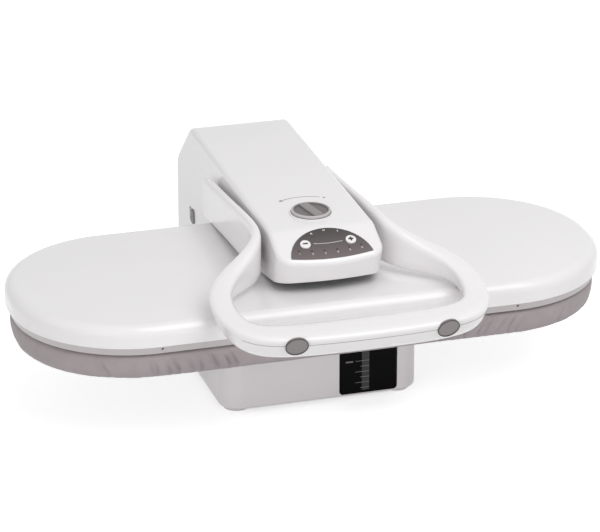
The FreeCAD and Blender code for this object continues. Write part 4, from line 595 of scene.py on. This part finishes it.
class PRESS_OT_pad_board(bpy.types.Operator):
    """Sew the cotton cover over the board: settled on its wadding, then gathered at the hem"""
    bl_idname = "press.pad_board"
    bl_label = "Pad board"

    def execute(self, context):
        sizes = context.scene.press_sizes
        middle = (COVER_LOW + COVER_HIGH) / 2
        half = (COVER_HIGH - COVER_LOW) / 2
        corner = half.y - sizes.end_flat / 2
        core = Vector((half.x - corner, half.y - corner))
        bm = bmesh.new()
        self.lay_top(bm, sizes, half, corner)
        self.turn_down(bm, sizes, core, corner)
        bmesh.ops.recalc_face_normals(bm, faces=bm.faces)
        self.settle(context, bm, sizes, core, corner)
        self.refine(bm, sizes, core)
        self.gather(bm, sizes, core, corner)
        self.lay_weave(bm, core, corner)
        bmesh.ops.translate(bm, verts=bm.verts, vec=(middle.x, middle.y, 0.0))
        for face in bm.faces:
            face.smooth = True
        finish = frame["nodes"]["board_cover"].data.materials[0]
        cover = add_piece("cotton_cover", bm, finish, "base")
        thick = cover.modifiers.new("cloth_thickness", "SOLIDIFY")
        thick.thickness = sizes.cloth_sheet
        thick.offset = -1.0
        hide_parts("board_cover", "board_foam")
        return {"FINISHED"}

    @staticmethod
    def outward(place, core):
        """The way out of the board at a point, and how far that point lies from the core rectangle."""
        near = Vector((max(-core.x, min(core.x, place.x)), max(-core.y, min(core.y, place.y)), 0.0))
        away = Vector((place.x, place.y, 0.0)) - near
        return away.normalized(), away.length

    def walked(self, place, core, corner):
        """Distance round the board's edge to a point from the middle of its front, alike on both sides."""
        way = self.outward(place, core)[0]
        turned = math.atan2(abs(way.x), -way.y)
        short = core.x - min(core.x, abs(place.x))
        end = max(-core.y, min(core.y, place.y)) + core.y
        return core.x + corner * turned + end + (short if way.y > 0 else -short)

    @staticmethod
    def lay_top(bm, sizes, half, corner):
        """The flat top out to its edge: an even number of steps on each side, so one falls in the middle."""
        edge, step = sizes.cloth_edge, sizes.cloth_step
        bmesh.ops.create_grid(bm, x_segments=1, y_segments=1, size=1.0)
        bmesh.ops.scale(bm, verts=bm.verts, vec=(half.x - edge, half.y - edge, 1.0))
        bmesh.ops.bevel(bm, geom=bm.verts[:], offset=corner - edge, affect="VERTICES", profile=0.5,
                        material=-1, segments=round(math.pi / 2 * corner / step))
        for side in [e for e in bm.edges if e.calc_length() > 2 * step]:
            bmesh.ops.subdivide_edges(bm, edges=[side], cuts=2 * round(side.calc_length() / step / 2) - 1)
        bmesh.ops.translate(bm, verts=bm.verts, vec=(0.0, 0.0, CLOTH_TOP))
        for width in sizes.cloth_rings:
            flat = max(bm.faces, key=lambda f: f.calc_area())
            bmesh.ops.inset_region(bm, faces=[flat], thickness=width, use_even_offset=True)

    def turn_down(self, bm, sizes, core, corner):
        """The side band: a round top edge, a band that draws in towards the hem, and the hem itself."""
        edge, draw, bottom = sizes.cloth_edge, sizes.cloth_draw, COVER_LOW.z
        profile = []
        for turn in EDGE_TURNS:
            profile.append((-edge * (1 - math.sin(turn)), CLOTH_TOP - EDGE_FLAT * edge * (1 - math.cos(turn))))
        for share in BAND_STEPS:
            profile.append((-draw * max(0.0, share - BAND_DRAWS) ** 2, CLOTH_TOP - CLOTH_DROP * share))
        for turn in HEM_TURNS:
            profile.append((-draw * HEM_DRAWN - sizes.hem_turn * (1 - math.cos(turn)),
                            bottom + HEM_RISE * CLOTH_DROP * (1 - math.sin(turn))))
        profile += [(-sizes.cloth_hem * share, bottom) for share in HEM_STEPS]
        rim = [e for e in bm.edges if e.is_boundary]
        for out, level in profile:
            ring = bmesh.ops.extrude_edge_only(bm, edges=rim)["geom"]
            rim = [g for g in ring if isinstance(g, bmesh.types.BMEdge)]
            for v in [g for g in ring if isinstance(g, bmesh.types.BMVert)]:
                way, away = self.outward(v.co, core)
                v.co += way * (corner + out - away)
                v.co.z = level

    def settle(self, context, bm, sizes, core, corner):
        """Lets the cloth settle on its wadding, and keeps each point within reach of where it was laid."""
        laid = bpy.data.meshes.new("laid_cloth")
        bm.to_mesh(laid)
        holder = add_object("laid_cloth", laid)
        pinned = []
        for v in laid.vertices:
            out = self.outward(v.co, core)[1] - corner
            on_top = v.co.z > CLOTH_TOP - TOP_GAP and out < -2 * sizes.cloth_edge
            if on_top or (v.co.z < COVER_LOW.z + TOP_GAP and out < TOP_GAP - sizes.cloth_hem):
                pinned.append(v.index)
        held = holder.vertex_groups.new(name="held")
        held.add(pinned, 1.0, "REPLACE")
        cloth = holder.modifiers.new("settle", "CLOTH")
        cotton = cloth.settings
        cotton.quality = 4
        cotton.mass = 0.2
        cotton.tension_stiffness = cotton.compression_stiffness = 12
        cotton.bending_stiffness = 0.4
        cotton.shrink_min = -0.03
        cotton.use_pressure = True
        cotton.uniform_pressure_force = 3.0
        cotton.vertex_group_mass = "held"
        cotton.effector_weights.gravity = 0.0
        cloth.collision_settings.use_collision = False
        cloth.point_cache.frame_end = sizes.cloth_frames
        for moment in range(1, sizes.cloth_frames + 1):
            context.scene.frame_set(moment)
        settled = holder.evaluated_get(context.evaluated_depsgraph_get()).to_mesh()
        for v, now in zip(bm.verts, settled.vertices):
            move = now.co - v.co
            if move.length > sizes.cloth_swell:
                move *= sizes.cloth_swell / move.length
            v.co += move
            v.co.z = min(v.co.z, CLOTH_TOP)
        context.scene.frame_set(1)
        bpy.data.objects.remove(holder)
        bpy.data.meshes.remove(laid)

    def refine(self, bm, sizes, core):
        """Cuts the side band finer along the edge, so that it can hold creases."""
        level = COVER_HIGH.z - sizes.cloth_edge / 3
        around = []
        for e in bm.edges:
            a, b = e.verts
            run = (b.co - a.co).normalized()
            leads_out = abs(run.dot(self.outward(a.co, core)[0]))
            if max(a.co.z, b.co.z) < level and max(leads_out, abs(run.z)) < RUNS_ROUND:
                around.append(e)
        bmesh.ops.subdivide_edges(bm, edges=around, cuts=sizes.cloth_cuts, use_grid_fill=True)

    def gather(self, bm, sizes, core, corner):
        """Draws the cloth in along creases that lean as they run up from the hem: deep ones where each end
        meets the long sides, and slight ones all round. The drawstring in the hem evens them out."""
        around = 2 * core.x + math.pi * corner + 2 * core.y
        draw = random.Random(CREASE_DRAW)
        pleats = []
        for side in (-1, 1):
            for turn in (core.x, around - core.x):
                for near in sizes.pleat_places:
                    at = turn - near if turn == core.x else turn + near
                    pleats.append((side, at + sizes.pleat_width * draw.uniform(-1, 1),
                                   *[draw.uniform(*ends) for ends in DEEP]))
            for i in range(sizes.pleat_count):
                pleats.append((side, (i + draw.uniform(0.1, 0.9)) * around / sizes.pleat_count,
                               *[draw.uniform(*ends) for ends in SLIGHT]))
        for v in bm.verts:
            fall = (CLOTH_TOP - v.co.z) / CLOTH_DROP
            if fall < CREASE_TOP:
                continue
            walked = self.walked(v.co, core, corner)
            shift = 0.0
            for side, at, depth, lean, reach in pleats:
                x = (walked - at + sizes.pleat_lean * lean * (1 - fall)) / sizes.pleat_width
                if v.co.x * side < 0 or abs(x) > CREASE_FAR:
                    continue
                strength = sizes.pleat_depth * depth * clamped((fall - 1 + reach) / CREASE_FADE)
                shift -= strength * (math.exp(-x * x) - RIDGE * math.exp(-(x - RIDGE_AT) ** 2))
            drawn = clamped((fall - EVEN_FROM) / EVEN_OVER)
            v.co += self.outward(v.co, core)[0] * shift * (1 - EVENED * drawn)

    def lay_weave(self, bm, core, corner):
        """Threads follow the board's edge on the side band and run straight on the top."""
        weave = bm.loops.layers.uv.new("weave")
        bm.normal_update()
        for face in bm.faces:
            level = abs(face.normal.z) > LIES_LEVEL
            side = math.copysign(1.0, face.calc_center_median().x)
            for corner_loop in face.loops:
                place = corner_loop.vert.co
                along = side * self.walked(place, core, corner)
                corner_loop[weave].uv = (place.x, place.y) if level else (along, place.z)


ARROW_ANGLES = (55, 61, 121)  # dot, shut end and open end of the arrow, in degrees round the cap
BARB_ANGLES = (0.45, -0.6)  # the two strokes of its head from its line
OPEN_RING = (120, 420)  # ends of the heat sign's ring, in degrees
CROSS_DEPTH = 1.2  # depth of a cross's second stroke over that of its first


class PRESS_OT_print_marks(bpy.types.Operator):
    """Print the arrow on the hood, the marks on the panel and the signs on the buttons"""
    bl_idname = "press.print_marks"
    bl_label = "Print marks"

    def execute(self, context):
        sizes = context.scene.press_sizes
        self.arrow(sizes, printed_ink("grey_print", "grey_ink"))
        self.panel(sizes, printed_ink("white_print", "ink"))
        dark = printed_ink("dark_print", "dark_ink")
        for sign in ("minus", "plus"):
            self.button_sign(sign, sizes, dark)
        return {"FINISHED"}

    @staticmethod
    def arrow(sizes, ink):
        """An arrow over the twist cap, from a dot at its shut end to an open head at its open end."""
        turn = joint("knob_turn")
        bm = bmesh.new()
        radius, width, depth = sizes.arrow_radius, sizes.ink_line, sizes.ink_depth
        dot, shut, opened = (math.radians(angle) for angle in ARROW_ANGLES)
        ink_arc(bm, (0.0, 0.0), radius, shut, opened, width, depth)
        tip = Vector((math.cos(opened), math.sin(opened))) * radius
        for spread in BARB_ANGLES:
            swing = opened - math.pi / 2 + spread
            barb = tip + Vector((math.cos(swing), math.sin(swing))) * sizes.arrow_head
            ink_bar(bm, tip, barb, width, depth)
        ink_disc(bm, Vector((math.cos(dot), math.sin(dot))) * radius, sizes.arrow_dot, depth)
        add_piece("arrow_print", bm, ink, "head", on_face(turn["pos_m"], turn["axis"]))

    @staticmethod
    def lenses(back, apart):
        """The middles of the indicator lenses in the panel's own X and Y."""
        spots = []
        for vertex in frame["nodes"]["indicator_lenses"].data.vertices:
            place = (back @ vertex.co).to_2d()
            spot = next((s for s in spots if (s[0] - place).length < apart), None)
            if spot is None:
                spots.append([place])
            else:
                spot.append(place)
        return [sum(spot, Vector((0.0, 0.0))) / len(spot) for spot in spots]

    def panel(self, sizes, ink):
        """A line between the buttons, a figure under each lower lens and a plain sign over each upper one."""
        press = -Vector(joint("minus_press")["axis"])
        face = on_top_of("control_panel", press)
        back = face.inverted()
        depth, line, high = sizes.ink_depth, sizes.fine_line, sizes.digit_height
        minus, plus = (back @ on_top_of(node, press).translation for node in ("minus_button", "plus_button"))
        lenses = sorted(self.lenses(back, sizes.lens_apart), key=lambda place: place.x)
        bm = bmesh.new()
        for i, place in enumerate([p for p in lenses if p.y < minus.y]):
            ink_text(bm, str(i + 1), place - Vector((0.0, sizes.digit_drop)), high, depth)
        heat, steam, water = (p + Vector((0.0, sizes.sign_lift)) for p in lenses if p.y > minus.y)
        ink_arc(bm, heat, high / 3, *map(math.radians, OPEN_RING), line, depth)
        ink_bar(bm, heat, heat + Vector((0.0, high / 2)), line, depth)
        for i in (-1, 0, 1):
            foot = steam + Vector((i * high / 3 - high / 10, -high / 3))
            ink_bar(bm, foot, foot + Vector((high / 5, high * 2 / 3)), line, depth)
        ink_disc(bm, water - Vector((0.0, high / 8)), high / 4, depth)
        ink_bar(bm, water, water + Vector((0.0, high / 2)), line, depth)
        reach = (plus.x - minus.x) / 2 - sizes.line_clear
        half = math.asin(reach / sizes.line_bow)
        middle = (0.0, minus.y + sizes.line_bow * math.cos(half))
        ink_arc(bm, middle, sizes.line_bow, -math.pi / 2 - half, -math.pi / 2 + half, line, depth)
        add_piece("panel_print", bm, ink, "head", face)

    @staticmethod
    def button_sign(sign, sizes, ink):
        """A bar on one button, a cross on the other."""
        face = on_top_of(f"{sign}_button", -Vector(joint(f"{sign}_press")["axis"]))
        half = sizes.sign_length / 2
        bm = bmesh.new()
        ink_bar(bm, (-half, 0.0), (half, 0.0), sizes.sign_line, sizes.ink_depth)
        if sign == "plus":
            ink_bar(bm, (0.0, -half), (0.0, half), sizes.sign_line, sizes.ink_depth * CROSS_DEPTH)
        add_piece(f"{sign}_sign", bm, ink, sign, face)


SHARP_EDGE = math.radians(50)  # faces of a shell that meet at more than this make a sharp edge


class PRESS_OT_part_handle(bpy.types.Operator):
    """Lay the shadow lines of the handle: where its shells part and round its screw caps"""
    bl_idname = "press.part_handle"
    bl_label = "Part handle"

    def execute(self, context):
        sizes = context.scene.press_sizes
        self.parting_line(context, sizes, printed_ink("seam_shadow", "seam"))
        self.cap_rings(sizes, printed_ink("gap_shadow", "gap"))
        return {"FINISHED"}

    @staticmethod
    def parting_line(context, sizes, shade):
        """A fine bead along the sharp edge of the lower shell, where the upper shell sits on it. It runs along
        the front of the bar, because round the arms the shells meet flush."""
        upper = merged_copy("handle_upper_shell")
        reach = BVHTree.FromBMesh(upper)
        upper.free()
        bm = merged_copy("handle_lower_shell")
        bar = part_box("handle_lower_shell")[0].y + sizes.bar_depth
        touching = {v for v in bm.verts if v.co.y < bar and reach.find_nearest(v.co)[3] < sizes.shell_touch}
        rest = []
        for e in bm.edges:
            sharp = len(e.link_faces) == 2 and e.calc_face_angle() > SHARP_EDGE
            in_front = any(face.normal.y < FACES_FRONT for face in e.link_faces)
            if not (sharp and in_front and touching.issuperset(e.verts)):
                rest.append(e)
        bmesh.ops.delete(bm, geom=bm.faces[:], context="FACES_ONLY")
        bmesh.ops.delete(bm, geom=rest, context="EDGES")
        bmesh.ops.delete(bm, geom=[v for v in bm.verts if not v.link_edges], context="VERTS")
        holder = add_shape("seam_wire", bm)
        bpy.ops.object.select_all(action="DESELECT")
        context.view_layer.objects.active = holder
        holder.select_set(True)
        bpy.ops.object.convert(target="CURVE")
        holder.data.bevel_depth = sizes.seam_line / 2
        holder.data.bevel_resolution = 1
        bead = bpy.data.meshes.new_from_object(holder)
        bm = bmesh.new()
        bm.from_mesh(bead)
        bpy.data.objects.remove(holder)
        bpy.data.meshes.remove(bead)
        add_piece("handle_seam", bm, shade, "handle")

    @staticmethod
    def cap_rings(sizes, shade):
        """A dark gap round the edge of each cap."""
        caps = frame["nodes"]["handle_screw_caps"].data
        bm = bmesh.new()
        for side in (-1, 1):
            own = [face for face in caps.polygons if face.center.x * side > 0]
            out = sum((f.normal * f.area for f in own if f.normal.y < FACES_FRONT), Vector()).normalized()
            points = [caps.vertices[i].co for face in own for i in face.vertices]
            middle = sum(points, Vector()) / len(points)
            top = max(out.dot(p - middle) for p in points)
            radius = max((p - middle - out * out.dot(p - middle)).length for p in points)
            turn = out.to_track_quat("Z", "Y").to_matrix().to_4x4()
            place = Matrix.Translation(middle + out * (top - sizes.cap_proud)) @ turn
            before = set(bm.verts)
            ink_arc(bm, (0.0, 0.0), radius, 0.0, 2 * math.pi, sizes.gap_width, sizes.gap_width)
            bmesh.ops.transform(bm, verts=[v for v in bm.verts if v not in before], matrix=place)
        add_piece("cap_rings", bm, shade, "handle")


# Places across the tank's front, as shares of its width from the left
STRIP_SIDES = (0.385, 0.515)
LONG_MARK, SHORT_MARK = 0.27, 0.355  # where the marks start
FULL_MARK = (0.1, 0.23)
MARK_COUNT = 6
MARK_DEPTH = 1.5  # depth of a mark over that of the strip under it


class PRESS_OT_scale_tank(bpy.types.Operator):
    """Print the level scale on the front of the tank"""
    bl_idname = "press.scale_tank"
    bl_label = "Scale tank"

    def execute(self, context):
        sizes = context.scene.press_sizes
        face = on_face(TANK_LOW, (0.0, -1.0, 0.0))
        wide, _, high = TANK_HIGH - TANK_LOW
        left, right = (share * wide for share in STRIP_SIDES)
        middle, depth = (left + right) / 2, sizes.ink_depth
        bm = bmesh.new()
        ink_bar(bm, (middle, sizes.scale_foot / 2), (middle, high - sizes.scale_foot), right - left, depth)
        add_piece("tank_window", bm, printed_ink("window_frost", "window"), "tank", face)
        bm = bmesh.new()
        for i in range(MARK_COUNT):
            rise = sizes.scale_foot + i * sizes.scale_step
            start = wide * (LONG_MARK if i % 2 else SHORT_MARK)
            ink_bar(bm, (start, rise), (right, rise), sizes.fine_line, MARK_DEPTH * depth)
        ink_bar(bm, *((share * wide, rise) for share in FULL_MARK), sizes.full_line, depth)
        add_piece("tank_scale", bm, printed_ink("scale_print", "scale_ink"), "tank", face)
        return {"FINISHED"}


# Name, place, aim and width of each soft box, in metres, and whether it shows in reflections. Low over the
# glossy plate, a lamp's reflection would burn out.
LAMPS = (
    ("key", (0.3, -0.75, 1.2), (0.0, -0.05, 0.12), 1.0, True),
    ("fill", (-1.5, -1.5, 0.35), (0.0, -0.05, 0.12), 1.2, False),
    ("back", (1.2, 1.8, 0.5), (0.0, 0.05, 0.12), 1.2, False),
)


class PRESS_OT_set_stage(bpy.types.Operator):
    """Set the floor, the white surroundings, the soft boxes and the camera"""
    bl_idname = "press.set_stage"
    bl_label = "Set stage"

    def execute(self, context):
        stage = context.scene.press_stage
        self.floor(stage)
        self.surroundings(context.scene, stage)
        for name, place, aim, width, mirrored in LAMPS:
            self.soft_box(f"{name}_light", place, aim, width, getattr(stage, name), mirrored)
        self.camera(context.scene, stage)
        context.scene.view_settings.view_transform = "Standard"
        return {"FINISHED"}

    @staticmethod
    def floor(stage):
        """A pale floor that fades to the white surroundings and keeps the shadow."""
        bm = bmesh.new()
        bmesh.ops.create_circle(bm, cap_ends=True, segments=96, radius=stage.floor_radius)
        floor = add_shape("floor", bm)
        material = bpy.data.materials.new("white_floor")
        material.use_nodes = True
        tree = material.node_tree
        tree.nodes.clear()
        path = add_node(tree, "LightPath")
        seen = add_node(tree, "Math", {"operation": "MAXIMUM"},
                        {0: path.outputs["Is Camera Ray"], 1: path.outputs["Is Glossy Ray"]})
        paint = add_node(tree, "BsdfDiffuse", {"Color": (*[stage.floor_paint] * 3, 1.0)})
        lift = add_node(tree, "Math", {"operation": "MULTIPLY", 1: stage.floor_glow},
                        {0: seen.outputs["Value"]})
        glow = add_node(tree, "Emission", {"Color": WHITE}, {"Strength": lift.outputs["Value"]})
        both = add_node(tree, "AddShader", {}, {0: paint.outputs["BSDF"], 1: glow.outputs["Emission"]})
        add_node(tree, "OutputMaterial", {}, {"Surface": both.outputs["Shader"]})
        floor.data.materials.append(material)

    @staticmethod
    def surroundings(scene, stage):
        """White where the camera, a reflection or clear plastic looks past the press, soft grey light
        elsewhere."""
        world = bpy.data.worlds.new("studio")
        scene.world = world
        world.use_nodes = True
        tree = world.node_tree
        tree.nodes.clear()
        path = add_node(tree, "LightPath")
        sharp = add_node(tree, "Math", {"operation": "MAXIMUM"},
                         {0: path.outputs["Is Glossy Ray"], 1: path.outputs["Is Transmission Ray"]})
        seen = add_node(tree, "Math", {"operation": "MAXIMUM"},
                        {0: path.outputs["Is Camera Ray"], 1: sharp.outputs["Value"]})
        soft, white = (add_node(tree, "Background", {"Color": WHITE, "Strength": strength})
                       for strength in (stage.sky, 1.0))
        both = add_node(tree, "MixShader", {}, {"Fac": seen.outputs["Value"], 1: soft.outputs["Background"],
                                                2: white.outputs["Background"]})
        add_node(tree, "OutputWorld", {}, {"Surface": both.outputs["Shader"]})

    @staticmethod
    def soft_box(name, place, aim, size, power, mirrored):
        """A square area lamp turned to a point."""
        lamp = bpy.data.lights.new(name, "AREA")
        lamp.shape = "SQUARE"
        lamp.size = size
        lamp.energy = power
        holder = add_object(name, lamp)
        holder.location = place
        holder.rotation_euler = (Vector(aim) - Vector(place)).to_track_quat("-Z", "Y").to_euler()
        holder.visible_glossy = mirrored

    @staticmethod
    def camera(scene, stage):
        """The photograph's viewing angle."""
        lens = bpy.data.cameras.new("camera")
        lens.lens = stage.lens
        lens.clip_end = 20.0
        holder = add_object("camera", lens)
        flat = math.cos(stage.elevation)
        back = Vector((math.sin(stage.azimuth) * flat, -math.cos(stage.azimuth) * flat,
                       math.sin(stage.elevation)))
        holder.location = Vector(stage.target) + back * stage.distance
        holder.rotation_euler = (-back).to_track_quat("-Z", "Y").to_euler()
        scene.camera = holder


OPERATORS = (PRESS_OT_finish_solids, PRESS_OT_pad_board, PRESS_OT_print_marks, PRESS_OT_part_handle,
             PRESS_OT_scale_tank, PRESS_OT_set_stage)


class PRESS_PT_tools(bpy.types.Panel):
    """Sidebar panel that lists the press's operators"""
    bl_idname = "PRESS_PT_tools"
    bl_label = "Steam ironing press"
    bl_space_type = "VIEW_3D"
    bl_region_type = "UI"
    bl_category = "Press"

    def draw(self, context):
        for operator in OPERATORS:
            self.layout.operator(operator.bl_idname)


GROUPS = {"press_colours": PressColours, "press_sizes": PressSizes, "press_stage": PressStage}
CLASSES = (*GROUPS.values(), *OPERATORS, PRESS_PT_tools)


def register():
    for cls in CLASSES:
        bpy.utils.register_class(cls)
    for name, group in GROUPS.items():
        setattr(bpy.types.Scene, name, PointerProperty(type=group))


def unregister():
    for name in GROUPS:
        delattr(bpy.types.Scene, name)
    for cls in reversed(CLASSES):
        bpy.utils.unregister_class(cls)


def main():
    """Runs the operators in order."""
    register()
    bpy.ops.press.finish_solids()
    bpy.ops.press.pad_board()
    bpy.ops.press.print_marks()
    bpy.ops.press.part_handle()
    bpy.ops.press.scale_tank()
    bpy.ops.press.set_stage()


if __name__ == "__main__":
    main()
